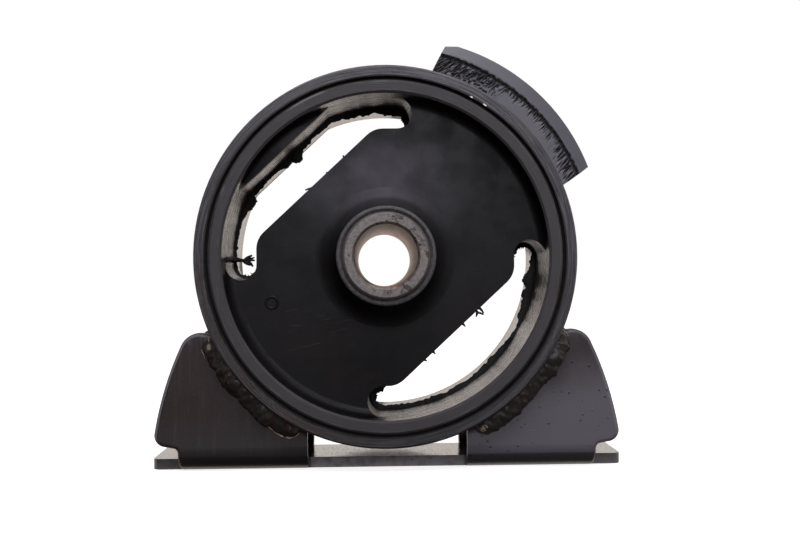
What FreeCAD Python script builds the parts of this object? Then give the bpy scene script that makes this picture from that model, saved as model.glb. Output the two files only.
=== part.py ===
"""Engine mount: a rubber bush pressed into a steel ring, welded onto a folded bracket.

The through bolt's bore lies along Y, with the origin at its middle, and the bracket's
underside faces -Z. All sizes are in millimetres and degrees. The driving sizes stand in
the sheet "sizes", the sizes that follow from them in the sheet "fits", and every feature
is bound to those two sheets.
"""

import FreeCAD
import Part
import math
import os

import Sketcher
from FreeCAD import Rotation, Vector

SIZES = (
    # the ring that carries the bush
    ("tube_outer_radius", 40.7),
    ("tube_wall", 2.4),
    ("tube_length", 41.0),
    ("tube_edge_break", 0.4),
    # the bush: steel shell, rubber lips and lining
    ("bush_recess", 0.2),
    ("shell_wall", 2.0),
    ("lip_thickness", 1.0),
    ("lip_clearance", 0.6),
    ("lip_bevel", 0.5),
    ("lining_thickness", 1.5),
    # the rubber web and the collar round the sleeve
    ("web_recess", 7.0),
    ("web_edge_round", 1.8),
    ("collar_wall", 1.3),
    ("collar_set_back", 0.8),
    ("collar_flare", 5.0),
    # the two windows through the web
    ("window_width", 12.7),
    ("window_end_width", 6.8),
    ("window_blend", 5.0),
    # how far each window's end rounds lie past the bore's centre lines
    ("left_window_top_reach", 2.8),
    ("left_window_side_reach", 1.4),
    ("right_window_foot_reach", 0.9),
    ("right_window_side_reach", 0.2),
    ("flat_angle", 132.8),
    ("mould_draft", 1.5),
    # the bump stop in the upper left window
    ("stop_height", 2.7),
    ("stop_recess", 5.7),
    # the sleeve for the through bolt
    ("bore_diameter", 13.0),
    ("sleeve_wall", 2.5),
    ("sleeve_length", 60.0),
    ("sleeve_chamfer", 0.5),
    # the snubber block on the outside of the ring
    ("block_angle", 48.4),
    ("block_foot_span", 54.4),
    ("block_top_span", 50.0),
    ("block_height", 7.6),
    ("block_crown", 0.5),
    ("block_length", 30.0),
    ("block_bevel", 2.4),
    ("block_bevel_depth", 0.9),
    # the folded bracket
    ("sheet_thickness", 2.3),
    ("bend_inner_radius", 2.9),
    ("bracket_depth", 30.0),
    ("base_length", 103.0),
    ("base_clearance", 3.0),
    ("tab_length", 6.2),
    ("tab_round", 1.8),
    ("middle_width", 34.6),
    ("weld_gap", 0.3),
    ("ear_top_radius", 4.6),
    ("ear_top_angle", 27.1),
    ("ear_top_overlap", 0.45),
    ("ear_edge_radius", 72.0),
    ("ear_corner_radius", 2.5),
    ("ear_inset", 0.8),
    ("ear_edge_round", 0.9),
    ("lobe_slope", 10.0),
    ("lobe_drop", 0.2),
    ("notch_round", 1.0),
    ("base_hole_diameter", 11.0),
    ("base_hole_spacing", 76.0),
    # the four weld beads
    ("weld_leg", 3.5),
    ("weld_root", 0.6),
    ("weld_bulge_radius", 4.0),
    ("weld_top_angle", 24.0),
    ("weld_bottom_angle", 62.5),
    ("weld_end_round", 1.5),
)

FITS = (
    ("tube_inner_radius", "sizes.tube_outer_radius - sizes.tube_wall"),
    ("tube_end", "sizes.tube_length / 2"),
    ("bush_end", "tube_end - sizes.bush_recess"),
    ("shell_end", "bush_end - sizes.lip_thickness"),
    ("shell_inner_radius", "tube_inner_radius - sizes.shell_wall"),
    ("lip_radius", "tube_inner_radius - sizes.lip_clearance"),
    ("lining_radius", "shell_inner_radius - sizes.lining_thickness"),
    ("web_face", "bush_end - sizes.web_recess"),
    ("bore_radius", "sizes.bore_diameter / 2"),
    ("sleeve_radius", "bore_radius + sizes.sleeve_wall"),
    ("sleeve_end", "sizes.sleeve_length / 2"),
    ("collar_radius", "sleeve_radius + sizes.collar_wall"),
    ("collar_end", "sleeve_end - sizes.collar_set_back"),
    # the mould parts at the middle plane, where the windows are narrowest
    ("draft_depth", "web_face + sizes.web_edge_round"),
    ("draft_run", "draft_depth * tan(sizes.mould_draft)"),
    ("window_outer", "lining_radius - draft_run"),
    ("shoulder_line", "lining_radius - sizes.window_end_width + draft_run"),
    ("flat_line", "lining_radius - sizes.window_width + draft_run"),
    ("blend_radius", "sizes.window_blend + draft_run"),
    ("stop_line", "lining_radius - sizes.stop_height"),
    ("stop_seat_radius", "lining_radius + sizes.lining_thickness / 2"),
    ("stop_half_chord", "sqrt(stop_seat_radius ^ 2 - stop_line ^ 2)"),
    ("stop_end", "bush_end - sizes.stop_recess"),
    ("block_radius", "sizes.tube_outer_radius + sizes.block_height"),
    ("block_half_chord", "block_radius * sin(sizes.block_top_span / 2)"),
    ("block_sagitta", "block_radius * (1 - cos(sizes.block_top_span / 2)) + sizes.block_crown"),
    ("block_top_radius", "(block_half_chord ^ 2 + block_sagitta ^ 2) / (2 * block_sagitta)"),
    ("base_top", "sizes.tube_outer_radius + sizes.base_clearance"),
    ("base_bottom", "base_top + sizes.sheet_thickness"),
    ("bend_outer_radius", "sizes.bend_inner_radius + sizes.sheet_thickness"),
    ("bend_line", "base_bottom - bend_outer_radius"),
    ("ear_face", "sizes.bracket_depth / 2"),
    ("ear_back", "ear_face - sizes.sheet_thickness"),
    ("base_edge", "ear_face - bend_outer_radius"),
    ("base_end", "sizes.base_length / 2"),
    ("bend_start", "sizes.middle_width / 2"),
    ("bend_end", "base_end - sizes.tab_length"),
    ("seat_radius", "sizes.tube_outer_radius + sizes.weld_gap"),
    ("ear_top_reach", "seat_radius + sizes.ear_top_radius - sizes.ear_top_overlap"),
    ("ear_top_across", "ear_top_reach * cos(sizes.ear_top_angle)"),
    ("ear_top_drop", "ear_top_reach * sin(sizes.ear_top_angle)"),
    ("ear_foot", "base_end - sizes.ear_inset"),
    # the notch's underside is a line that rises outwards, tangent to its rounded corner
    ("lobe_line", "bend_line + sizes.lobe_drop"),
    ("notch_corner", "lobe_line + sizes.notch_round * (1 / cos(sizes.lobe_slope) - tan(sizes.lobe_slope))"),
    ("notch_foot", "base_bottom + sizes.sheet_thickness"),
    ("notch_reach", "base_end + sizes.sheet_thickness"),
    ("weld_span", "sizes.weld_bottom_angle - sizes.weld_top_angle"),
)

FULL_TURN, HALF_TURN = 360, 180
START, END, CENTRE = 1, 2, 3
ORIGIN_POINT = (-1, 1)
TOLERANCE = 1e-4


def add_sheet(document, name, rows):
    """Fills a spreadsheet with one aliased row for each name, and returns it."""
    sheet = document.addObject("Spreadsheet::Sheet", name)
    for number, (alias, content) in enumerate(rows, start=1):
        sheet.set("A%d" % number, alias)
        sheet.set("B%d" % number, str(content))
        sheet.setAlias("B%d" % number, alias)
    document.recompute()
    return sheet


class Mount:
    """The document, its two sheets and what every sub-part is drawn with."""

    def __init__(self):
        self.document = FreeCAD.newDocument("engine_mount")
        self.sizes = add_sheet(self.document, "sizes", SIZES)
        self.fits = add_sheet(self.document, "fits", [(name, "=" + rule) for name, rule in FITS])

    def value(self, rule):
        """The number that an expression on the two sheets comes to."""
        return float(self.sizes.evalExpression(rule))

    def body(self, label):
        """An empty body for one sub-part."""
        body = self.document.addObject("PartDesign::Body", label)
        body.Label = label
        body.Placement = FreeCAD.Placement()
        return body

    def sketch(self, body, name, plane, offset=None):
        """A sketch on one of the body's origin planes, moved along its normal by offset."""
        sketch = body.newObject("Sketcher::SketchObject", body.Name + "_" + name)
        support = [item for item in body.Origin.OriginFeatures if item.Role == plane][0]
        sketch.AttachmentSupport = [(support, "")]
        sketch.MapMode = "FlatFace"
        if offset:
            sketch.setExpression("AttachmentOffset.Base.z", offset)
            self.document.recompute()
        return sketch

    def hold(self, sketch, kind, name, rule, *places):
        """Adds a dimension to a sketch and binds it to an expression on the sheets."""
        number = self.value(rule)
        if kind == "Angle":
            number = math.radians(number)
            rule = "(%s) * 1 deg" % rule
        index = sketch.addConstraint(Sketcher.Constraint(kind, *places, number))
        sketch.renameConstraint(index, name)
        sketch.setExpression("Constraints." + name, rule)

    def outline(self, sketch, corners):
        """Closes an outline through corners, each held across and up from the origin.

        A corner is (across, up) where a straight edge arrives and (across, up, radius,
        turn) where an arc does, with turn 1 for anticlockwise and -1 for clockwise.
        """
        points = [Vector(self.value(c[0]), self.value(c[1]), 0) for c in corners]
        starts = []
        ends = []
        for index, corner in enumerate(corners):
            before, here = points[index - 1], points[index]
            if len(corner) == 2:
                edge = sketch.addGeometry(Part.LineSegment(before, here))
                starts.append((edge, START))
                ends.append((edge, END))
                continue
            radius, turn = self.value(corner[2]), corner[3]
            edge = sketch.addGeometry(arc_between(before, here, radius, turn))
            starts.append((edge, START if turn > 0 else END))
            ends.append((edge, END if turn > 0 else START))
            self.hold(sketch, "Radius", "bend%d" % index, corner[2], edge)
        for index, corner in enumerate(corners):
            following = starts[(index + 1) % len(corners)]
            sketch.addConstraint(Sketcher.Constraint("Coincident", *ends[index], *following))
            self.hold(sketch, "DistanceX", "across%d" % index, corner[0], *ORIGIN_POINT, *ends[index])
            self.hold(sketch, "DistanceY", "up%d" % index, corner[1], *ORIGIN_POINT, *ends[index])
        self.document.recompute()

    def feature(self, body, kind, name, profile, rules, settings=()):
        """A sketched feature whose properties are bound to expressions on the sheets."""
        feature = body.newObject("PartDesign::" + kind, body.Name + "_" + name)
        feature.Profile = profile
        for item, setting in settings:
            setattr(feature, item, setting)
        for item, rule in rules:
            feature.setExpression(item, rule)
        profile.Visibility = False
        self.document.recompute()
        return feature

    def revolve(self, body, name, sketch, angle):
        """Turns a section round the upright axis of its sketch."""
        axis = (("ReferenceAxis", (sketch, ["V_Axis"])),)
        return self.feature(body, "Revolution", name, sketch, (("Angle", angle),), axis)

    def pad(self, body, name, sketch, length, side="Symmetric", inward=False):
        """Raises an outline to a length, both ways or to one side."""
        settings = (("SideType", side), ("Reversed", inward))
        return self.feature(body, "Pad", name, sketch, (("Length", length),), settings)

    def dress(self, body, kind, name, size, rule, edges):
        """A fillet or chamfer on edges of the body's last feature."""
        base = body.Tip
        feature = body.newObject("PartDesign::" + kind, body.Name + "_" + name)
        feature.Base = (base, edges)
        feature.setExpression(size, rule)
        self.document.recompute()
        return feature

    def turned(self, label, corners):
        """A ring-shaped sub-part, turned round the bore's axis from its section."""
        body = self.body(label)
        section = self.sketch(body, "section", "XY_Plane")
        self.outline(section, corners)
        self.revolve(body, "turn", section, str(FULL_TURN))
        return body


def arc_between(before, here, radius, turn):
    """The shorter arc of a radius from one point to the next, turning the given way."""
    chord = here - before
    rise = math.sqrt(max(radius ** 2 - (chord.Length / 2) ** 2, 0))
    normal = Vector(-chord.y, chord.x, 0).normalize()
    centre = before + chord * 0.5 + normal * (turn * rise)
    first, last = (before, here) if turn > 0 else (here, before)
    return arc_about(centre, radius, angle_of(first - centre), angle_of(last - centre))


def arc_about(centre, radius, first, last):
    """The anticlockwise arc from one angle to another about a centre."""
    circle = Part.Circle(centre, Vector(0, 0, 1), radius)
    while last <= first:
        last += 2 * math.pi
    return Part.ArcOfCircle(circle, first, last)


def angle_of(vector):
    """The direction of a flat vector, in radians."""
    return math.atan2(vector.y, vector.x)


def edges_where(feature, test):
    """The names of a feature's edges that pass a test."""
    edges = enumerate(feature.Shape.Edges, start=1)
    return ["Edge%d" % number for number, edge in edges if test(edge)]


def both_ends(half):
    """A half outline of (radius, along) corners, closed by its mirror image in along."""
    mirrored = []
    for index in range(len(half) - 1, -1, -1):
        across, along = half[index][:2]
        arriving = half[index + 1] if index + 1 < len(half) else ()
        bend = tuple(arriving[2:])
        mirrored.append((across, "-(%s)" % along) + bend)
    return list(half) + mirrored


def outer_tube(mount):
    """The rolled and welded ring, with its edges broken."""
    return mount.turned("outer_tube", both_ends([
        ("fits.tube_inner_radius", "fits.tube_end"),
        ("sizes.tube_outer_radius - sizes.tube_edge_break", "fits.tube_end"),
        ("sizes.tube_outer_radius", "fits.tube_end - sizes.tube_edge_break"),
    ]))


def bush_outer_shell(mount):
    """The bush's own steel shell, pressed into the ring."""
    return mount.turned("bush_outer_shell", both_ends([
        ("fits.shell_inner_radius", "fits.shell_end"),
        ("fits.tube_inner_radius", "fits.shell_end"),
    ]))


def inner_sleeve(mount):
    """The thick sleeve that the through bolt clamps, chamfered inside and out."""
    return mount.turned("inner_sleeve", both_ends([
        ("fits.bore_radius", "fits.sleeve_end - sizes.sleeve_chamfer"),
        ("fits.bore_radius + sizes.sleeve_chamfer", "fits.sleeve_end"),
        ("fits.sleeve_radius - sizes.sleeve_chamfer", "fits.sleeve_end"),
        ("fits.sleeve_radius", "fits.sleeve_end - sizes.sleeve_chamfer"),
    ]))


def rubber_section(mount, body):
    """Half of the rubber's section, from the sleeve out to the shell, before its windows."""
    section = mount.sketch(body, "section", "XY_Plane")
    mount.outline(section, both_ends([
        ("fits.sleeve_radius", "fits.collar_end - sizes.collar_wall / 2"),
        ("fits.sleeve_radius + sizes.collar_wall / 2", "fits.collar_end"),
        ("fits.collar_radius", "fits.collar_end - sizes.collar_wall / 2",
         "sizes.collar_wall / 2", -1),
        ("fits.collar_radius", "fits.web_face + sizes.collar_flare"),
        ("fits.collar_radius + sizes.collar_flare", "fits.web_face", "sizes.collar_flare", 1),
        ("fits.lining_radius - sizes.web_edge_round", "fits.web_face"),
        ("fits.lining_radius", "fits.web_face + sizes.web_edge_round",
         "sizes.web_edge_round", 1),
        ("fits.lining_radius", "fits.bush_end - sizes.lip_bevel"),
        ("fits.lining_radius + sizes.lip_bevel", "fits.bush_end"),
        ("fits.lip_radius - sizes.lip_bevel", "fits.bush_end"),
        ("fits.lip_radius", "fits.bush_end - sizes.lip_bevel"),
        ("fits.lip_radius", "fits.shell_end"),
        ("fits.shell_inner_radius", "fits.shell_end"),
    ]))
    return mount.revolve(body, "turn", section, str(FULL_TURN))


def window_outline(mount, sketch, top_reach, side_reach):
    """One window at the mould's parting plane: the lining's arc outside, the web's flat
    inside with a shoulder at each end, and full rounds joining the two."""
    outer = mount.value("fits.window_outer")
    shoulder = mount.value("fits.shoulder_line")
    flat = mount.value("fits.flat_line")
    blend = mount.value("fits.blend_radius")
    rise, drop = mount.value(top_reach), mount.value(side_reach)
    normal_angle = math.radians(mount.value("sizes.flat_angle"))
    normal = Vector(math.cos(normal_angle), math.sin(normal_angle), 0)

    def end_radius(reach):
        return (outer ** 2 - reach ** 2 - shoulder ** 2) / (2 * (shoulder + outer))

    upper_radius, lower_radius = end_radius(rise), end_radius(drop)
    upper_end = Vector(rise, shoulder + upper_radius, 0)
    lower_end = Vector(-shoulder - lower_radius, -drop, 0)
    upper_blend = Vector(0, shoulder - blend, 0)
    upper_blend.x = (flat - blend - upper_blend.y * normal.y) / normal.x
    lower_blend = Vector(blend - shoulder, 0, 0)
    lower_blend.y = (flat - blend - lower_blend.x * normal.x) / normal.y

    quarter = math.pi / 2
    wall = sketch.addGeometry(
        arc_about(Vector(0, 0, 0), outer, angle_of(upper_end), angle_of(lower_end)))
    lower_round = sketch.addGeometry(
        arc_about(lower_end, lower_radius, angle_of(lower_end), 0))
    lower_shoulder = sketch.addGeometry(Part.LineSegment(
        Vector(-shoulder, lower_end.y, 0), Vector(-shoulder, lower_blend.y, 0)))
    lower_curve = sketch.addGeometry(
        arc_about(lower_blend, blend, normal_angle, 2 * quarter))
    web_flat = sketch.addGeometry(Part.LineSegment(
        lower_blend + normal * blend, upper_blend + normal * blend))
    upper_curve = sketch.addGeometry(
        arc_about(upper_blend, blend, quarter, normal_angle))
    upper_shoulder = sketch.addGeometry(Part.LineSegment(
        Vector(upper_blend.x, shoulder, 0), Vector(upper_end.x, shoulder, 0)))
    upper_round = sketch.addGeometry(
        arc_about(upper_end, upper_radius, -quarter, angle_of(upper_end)))

    tangents = (
        (wall, END, lower_round, START),
        (lower_round, END, lower_shoulder, START),
        (lower_shoulder, END, lower_curve, END),
        (lower_curve, START, web_flat, START),
        (web_flat, END, upper_curve, END),
        (upper_curve, START, upper_shoulder, START),
        (upper_shoulder, END, upper_round, START),
        (upper_round, END, wall, START),
    )
    for places in tangents:
        sketch.addConstraint(Sketcher.Constraint("Tangent", *places))
    sketch.addConstraint(Sketcher.Constraint("Coincident", wall, CENTRE, *ORIGIN_POINT))
    sketch.addConstraint(Sketcher.Constraint("Horizontal", upper_shoulder))
    sketch.addConstraint(Sketcher.Constraint("Vertical", lower_shoulder))
    hold = mount.hold
    hold(sketch, "Radius", "wall_radius", "fits.window_outer", wall)
    hold(sketch, "Radius", "upper_blend", "fits.blend_radius", upper_curve)
    hold(sketch, "Radius", "lower_blend", "fits.blend_radius", lower_curve)
    hold(sketch, "DistanceY", "upper_shoulder", "fits.shoulder_line",
         *ORIGIN_POINT, upper_shoulder, END)
    hold(sketch, "DistanceX", "lower_shoulder", "-fits.shoulder_line",
         *ORIGIN_POINT, lower_shoulder, START)
    hold(sketch, "DistanceX", "upper_end", top_reach,
         *ORIGIN_POINT, upper_round, CENTRE)
    hold(sketch, "DistanceY", "lower_end", "-" + side_reach,
         *ORIGIN_POINT, lower_round, CENTRE)
    hold(sketch, "Distance", "flat_distance", "fits.flat_line", *ORIGIN_POINT, web_flat)
    hold(sketch, "Angle", "flat_slope", "sizes.flat_angle - 90", web_flat)
    mount.document.recompute()


def rubber_spring(mount):
    """The rubber moulding: collar, web with two windows, lining, lips and bump stop."""
    body = mount.body("rubber_spring")
    rubber_section(mount, body)

    # the right window is the left one's outline turned half way round, with shorter ends
    for side, turn, top_reach, side_reach in (
            ("left", 0, "sizes.left_window_top_reach", "sizes.left_window_side_reach"),
            ("right", HALF_TURN, "sizes.right_window_foot_reach",
             "sizes.right_window_side_reach")):
        window = mount.sketch(body, side + "_window", "XZ_Plane")
        window.AttachmentOffset = FreeCAD.Placement(
            Vector(0, 0, 0), Rotation(Vector(0, 0, 1), turn))
        window_outline(mount, window, top_reach, side_reach)
        mount.feature(body, "Pocket", side + "_window_cut", window,
                      (("Length", "2 * fits.draft_depth"),
                       ("TaperAngle", "sizes.mould_draft")),
                      (("SideType", "Symmetric"),))

    stop = mount.sketch(body, "stop", "XZ_Plane")
    along = "fits.stop_line * %s(sizes.flat_angle) %s fits.stop_half_chord * %s(sizes.flat_angle)"
    mount.outline(stop, [
        (along % ("cos", "+", "sin"), along % ("sin", "-", "cos")),
        (along % ("cos", "-", "sin"), along % ("sin", "+", "cos"), "fits.stop_seat_radius", 1),
    ])
    mount.pad(body, "stop_pad", stop, "2 * fits.stop_end")
    return body


def stopper_block(mount):
    """The rubber snubber on the ring: leaning ends, crowned top and bevelled faces."""
    body = mount.body("stopper_block")
    outline = mount.sketch(body, "outline", "XZ_Plane")

    def corner(radius, share):
        turn = "(sizes.block_angle %s / 2)" % share
        return ("%s * cos%s" % (radius, turn), "%s * sin%s" % (radius, turn))

    foot, top = "sizes.tube_outer_radius", "fits.block_radius"
    mount.outline(outline, [
        corner(foot, "+ sizes.block_foot_span"),
        corner(foot, "- sizes.block_foot_span") + (foot, -1),
        corner(top, "- sizes.block_top_span"),
        corner(top, "+ sizes.block_top_span") + ("fits.block_top_radius", 1),
    ])
    raised = mount.pad(body, "raise", outline, "sizes.block_length")
    face = mount.value("sizes.block_length / 2")
    inside = mount.value("sizes.tube_outer_radius + sizes.block_height / 2")

    def on_top_rim(edge):
        ends = [vertex.Point for vertex in edge.Vertexes]
        far = all(math.hypot(point.x, point.z) > inside for point in ends)
        return far and all(abs(abs(point.y) - face) < TOLERANCE for point in ends)

    bevel = mount.dress(body, "Chamfer", "bevel", "Size", "sizes.block_bevel_depth",
                        edges_where(raised, on_top_rim))
    bevel.ChamferType = "Two distances"
    bevel.setExpression("Size2", "sizes.block_bevel")
    mount.document.recompute()
    return body


def ear_outline(mount, sketch):
    """An ear above its bend: seat round the ring, rounded top and bowed outer edge, each
    tangent to the next."""
    seat = mount.value("fits.seat_radius")
    start = mount.value("fits.bend_start")
    line = -mount.value("fits.bend_line")
    top_radius = mount.value("sizes.ear_top_radius")
    edge_radius = mount.value("sizes.ear_edge_radius")
    top = Vector(mount.value("fits.ear_top_across"), -mount.value("fits.ear_top_drop"), 0)
    root = Vector(start, line, 0)
    toe = Vector(mount.value("fits.ear_foot"), line, 0)
    bow = crossing(top, edge_radius - top_radius, toe, edge_radius, -1)
    seat_top = crossing(Vector(0, 0, 0), seat, top, top_radius, 1)
    seat_foot = Vector(start, -math.sqrt(seat ** 2 - start ** 2), 0)

    inner = sketch.addGeometry(Part.LineSegment(root, seat_foot))
    cradle = sketch.addGeometry(
        arc_about(Vector(0, 0, 0), seat, angle_of(seat_foot), angle_of(seat_top)))
    crest = sketch.addGeometry(
        arc_about(top, top_radius, angle_of(top - bow), angle_of(seat_top - top)))
    edge = sketch.addGeometry(
        arc_about(bow, edge_radius, angle_of(toe - bow), angle_of(top - bow)))
    foot = sketch.addGeometry(Part.LineSegment(root, toe))

    joins = (
        ("Coincident", foot, START, inner, START),
        ("Coincident", inner, END, cradle, START),
        ("Coincident", cradle, END, crest, END),
        ("Tangent", crest, START, edge, END),
        ("Coincident", edge, START, foot, END),
        ("Coincident", cradle, CENTRE, *ORIGIN_POINT),
        ("Vertical", inner),
        ("Horizontal", foot),
    )
    for join in joins:
        sketch.addConstraint(Sketcher.Constraint(*join))
    hold = mount.hold
    hold(sketch, "Radius", "seat", "fits.seat_radius", cradle)
    hold(sketch, "Radius", "top_radius", "sizes.ear_top_radius", crest)
    hold(sketch, "Radius", "edge_radius", "sizes.ear_edge_radius", edge)
    hold(sketch, "DistanceX", "inner_edge", "fits.bend_start", *ORIGIN_POINT, inner, START)
    hold(sketch, "DistanceY", "bend_line", "-fits.bend_line", *ORIGIN_POINT, inner, START)
    hold(sketch, "DistanceX", "foot_end", "fits.ear_foot", *ORIGIN_POINT, foot, END)
    hold(sketch, "DistanceX", "top_across", "fits.ear_top_across", *ORIGIN_POINT, crest, CENTRE)
    hold(sketch, "DistanceY", "top_up", "-fits.ear_top_drop", *ORIGIN_POINT, crest, CENTRE)
    mount.document.recompute()


def crossing(first, first_radius, second, second_radius, side):
    """Where two circles cross, on the left (1) or right (-1) of the line between them."""
    between = second - first
    span = between.Length
    along = (span ** 2 + first_radius ** 2 - second_radius ** 2) / (2 * span)
    aside = math.sqrt(first_radius ** 2 - along ** 2)
    direction = between * (1 / span)
    return first + direction * along + Vector(-direction.y, direction.x, 0) * (side * aside)


def flange(mount, body):
    """The front right ear and the bend below it, to the ear's full width."""
    ear = mount.sketch(body, "ear", "XZ_Plane", "fits.ear_face")
    ear_outline(mount, ear)
    mount.pad(body, "ear_sheet", ear, "sizes.sheet_thickness", "One side", inward=True)

    bend = mount.sketch(body, "bend", "YZ_Plane", "fits.bend_start")
    mount.outline(bend, [
        ("-fits.base_edge", "-fits.base_bottom", "fits.bend_outer_radius", 1),
        ("-fits.base_edge", "-fits.base_top"),
        ("-fits.ear_back", "-fits.bend_line", "sizes.bend_inner_radius", -1),
        ("-fits.ear_face", "-fits.bend_line"),
    ])
    mount.pad(body, "bend_sheet", bend, "fits.ear_foot - fits.bend_start", "One side")


def notch(mount, body):
    """The notch between the ear's heel and the base's tab, rounded in its inner corner."""
    outline = mount.sketch(body, "notch", "XZ_Plane", "fits.ear_face")
    mount.outline(outline, [
        ("fits.bend_end", "-fits.notch_foot"),
        ("fits.bend_end", "-fits.notch_corner"),
        ("fits.bend_end + sizes.notch_round * (1 - sin(sizes.lobe_slope))",
         "sizes.notch_round * cos(sizes.lobe_slope) - fits.notch_corner",
         "sizes.notch_round", -1),
        ("fits.notch_reach",
         "(fits.notch_reach - fits.bend_end) * tan(sizes.lobe_slope) - fits.lobe_line"),
        ("fits.notch_reach", "-fits.notch_foot"),
    ])
    return mount.feature(body, "Pocket", "notch_cut", outline,
                         (("Length", "fits.bend_outer_radius"),))


def round_free_rim(mount, body, notched):
    """Rounds the heel, and gives the ear the rolled rim that blanking leaves outside."""
    face = mount.value("fits.ear_face")
    line = -mount.value("fits.bend_line")
    start = mount.value("fits.bend_start")
    end = mount.value("fits.bend_end")
    seat = mount.value("fits.seat_radius")

    def is_heel(edge):
        """Whether an edge is the corner between the ear's bowed edge and its underside."""
        first, last = edge.Vertexes[0].Point, edge.Vertexes[-1].Point
        across = Vector(first.x - last.x, 0, first.z - last.z)
        return across.Length < TOLERANCE and first.x > end + TOLERANCE and first.z > line

    heel = mount.dress(body, "Fillet", "heel", "Radius", "sizes.ear_corner_radius",
                       edges_where(notched, is_heel))

    def on_free_rim(edge):
        """Whether an edge is on the ear's free rim, on the side that faces outwards."""
        middle = edge.valueAt((edge.FirstParameter + edge.LastParameter) / 2)
        outside = all(abs(tip.Point.y + face) < TOLERANCE for tip in edge.Vertexes)
        seated = abs(math.hypot(middle.x, middle.z) - seat) < TOLERANCE
        bent = middle.x < end and abs(middle.z - line) < TOLERANCE
        return outside and middle.x > start + TOLERANCE and not seated and not bent

    mount.dress(body, "Fillet", "rolled_rim", "Radius", "sizes.ear_edge_round",
                edges_where(heel, on_free_rim))


def base_sheet(mount, body):
    """A quarter of the flat base strip, with its tab corner rounded."""
    strip = mount.sketch(body, "base", "XY_Plane", "-fits.base_bottom")
    mount.outline(strip, [
        ("fits.base_end", "0"),
        ("0", "0"),
        ("0", "-fits.base_edge"),
        ("fits.base_end - sizes.tab_round", "-fits.base_edge"),
        ("fits.base_end", "sizes.tab_round - fits.base_edge", "sizes.tab_round", 1),
    ])
    mount.pad(body, "base_sheet", strip, "sizes.sheet_thickness", "One side")


def mirror_step(body, role):
    """A mirror step across one of the body's origin planes."""
    mirror = body.newObject("PartDesign::Mirrored", body.Name + "_across_" + role)
    plane = [item for item in body.Origin.OriginFeatures if item.Role == role][0]
    mirror.MirrorPlane = (plane, [""])
    return mirror


def mounting_bracket(mount):
    """The bracket folded from one sheet: a quarter with one ear, mirrored to all four,
    and two bolt holes."""
    body = mount.body("mounting_bracket")
    flange(mount, body)
    round_free_rim(mount, body, notch(mount, body))
    base_sheet(mount, body)
    whole = body.newObject("PartDesign::MultiTransform", body.Name + "_whole")
    whole.TransformMode = "Whole shape"
    whole.Transformations = [mirror_step(body, role) for role in ("XZ_Plane", "YZ_Plane")]
    body.Tip = whole
    mount.document.recompute()

    holes = mount.sketch(body, "holes", "XY_Plane", "-fits.base_top")
    for number, sign in enumerate(("", "-")):
        place = sign + "sizes.base_hole_spacing / 2"
        circle = sketch_circle(mount, holes, place, "sizes.base_hole_diameter / 2")
        mount.hold(holes, "DistanceX", "hole%d" % number, place, *ORIGIN_POINT, circle, CENTRE)
        holes.addConstraint(Sketcher.Constraint("PointOnObject", circle, CENTRE, -1))
    mount.feature(body, "Hole", "base_holes", holes, (("Diameter", "sizes.base_hole_diameter"),),
                  (("DepthType", "ThroughAll"),))
    return body


def sketch_circle(mount, sketch, across, radius):
    """A circle on a sketch's horizontal axis, with its radius held."""
    circle = Part.Circle(Vector(mount.value(across), 0, 0), Vector(0, 0, 1), mount.value(radius))
    index = sketch.addGeometry(circle)
    mount.hold(sketch, "Radius", "circle%d" % index, radius, index)
    return index


def weld_bead(mount, label, side, face):
    """A fillet weld in the corner between an ear's outer face and the ring.

    The side is "right" or "left", and the face "rear" (+Y) or "front" (-Y).
    """
    body = mount.body(label)
    bead = mount.sketch(body, "section", "XY_Plane")
    sign, turn = ("", 1) if face == "rear" else ("-", -1)

    def along(rule):
        return "%s(%s)" % (sign, rule)

    mount.outline(bead, [
        ("sizes.tube_outer_radius", along("fits.ear_face - sizes.weld_root")),
        ("fits.seat_radius", along("fits.ear_face - sizes.weld_root")),
        ("fits.seat_radius", along("fits.ear_face")),
        ("sizes.tube_outer_radius + sizes.weld_leg", along("fits.ear_face")),
        ("sizes.tube_outer_radius", along("fits.ear_face + sizes.weld_leg"),
         "sizes.weld_bulge_radius", turn),
    ])
    run = mount.revolve(body, "run", bead, "fits.weld_span")
    bulge = mount.value("sizes.weld_bulge_radius")

    def closes_run(edge):
        """Whether an edge is the bulged rim of one of the bead's two ends."""
        return hasattr(edge.Curve, "Radius") and abs(edge.Curve.Radius - bulge) < TOLERANCE

    mount.dress(body, "Fillet", "run_ends", "Radius", "sizes.weld_end_round",
                edges_where(run, closes_run))
    start = "sizes.weld_top_angle" if side == "right" else "180 - sizes.weld_bottom_angle"
    body.Placement = FreeCAD.Placement(Vector(), Rotation(Vector(0, 1, 0), mount.value(start)))
    body.setExpression("Placement.Rotation.Angle", start)
    mount.document.recompute()
    return body


def check(document, bodies):
    """Stops if any feature failed or any sub-part isn't one sound solid."""
    for item in document.Objects:
        if "Invalid" in item.State or "Error" in item.State:
            raise RuntimeError("%s failed: %s" % (item.Name, item.State))
    for body in bodies:
        shape = body.Shape
        if shape.isNull() or not shape.isValid() or len(shape.Solids) != 1:
            raise RuntimeError("%s is not one sound solid" % body.Label)


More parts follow.
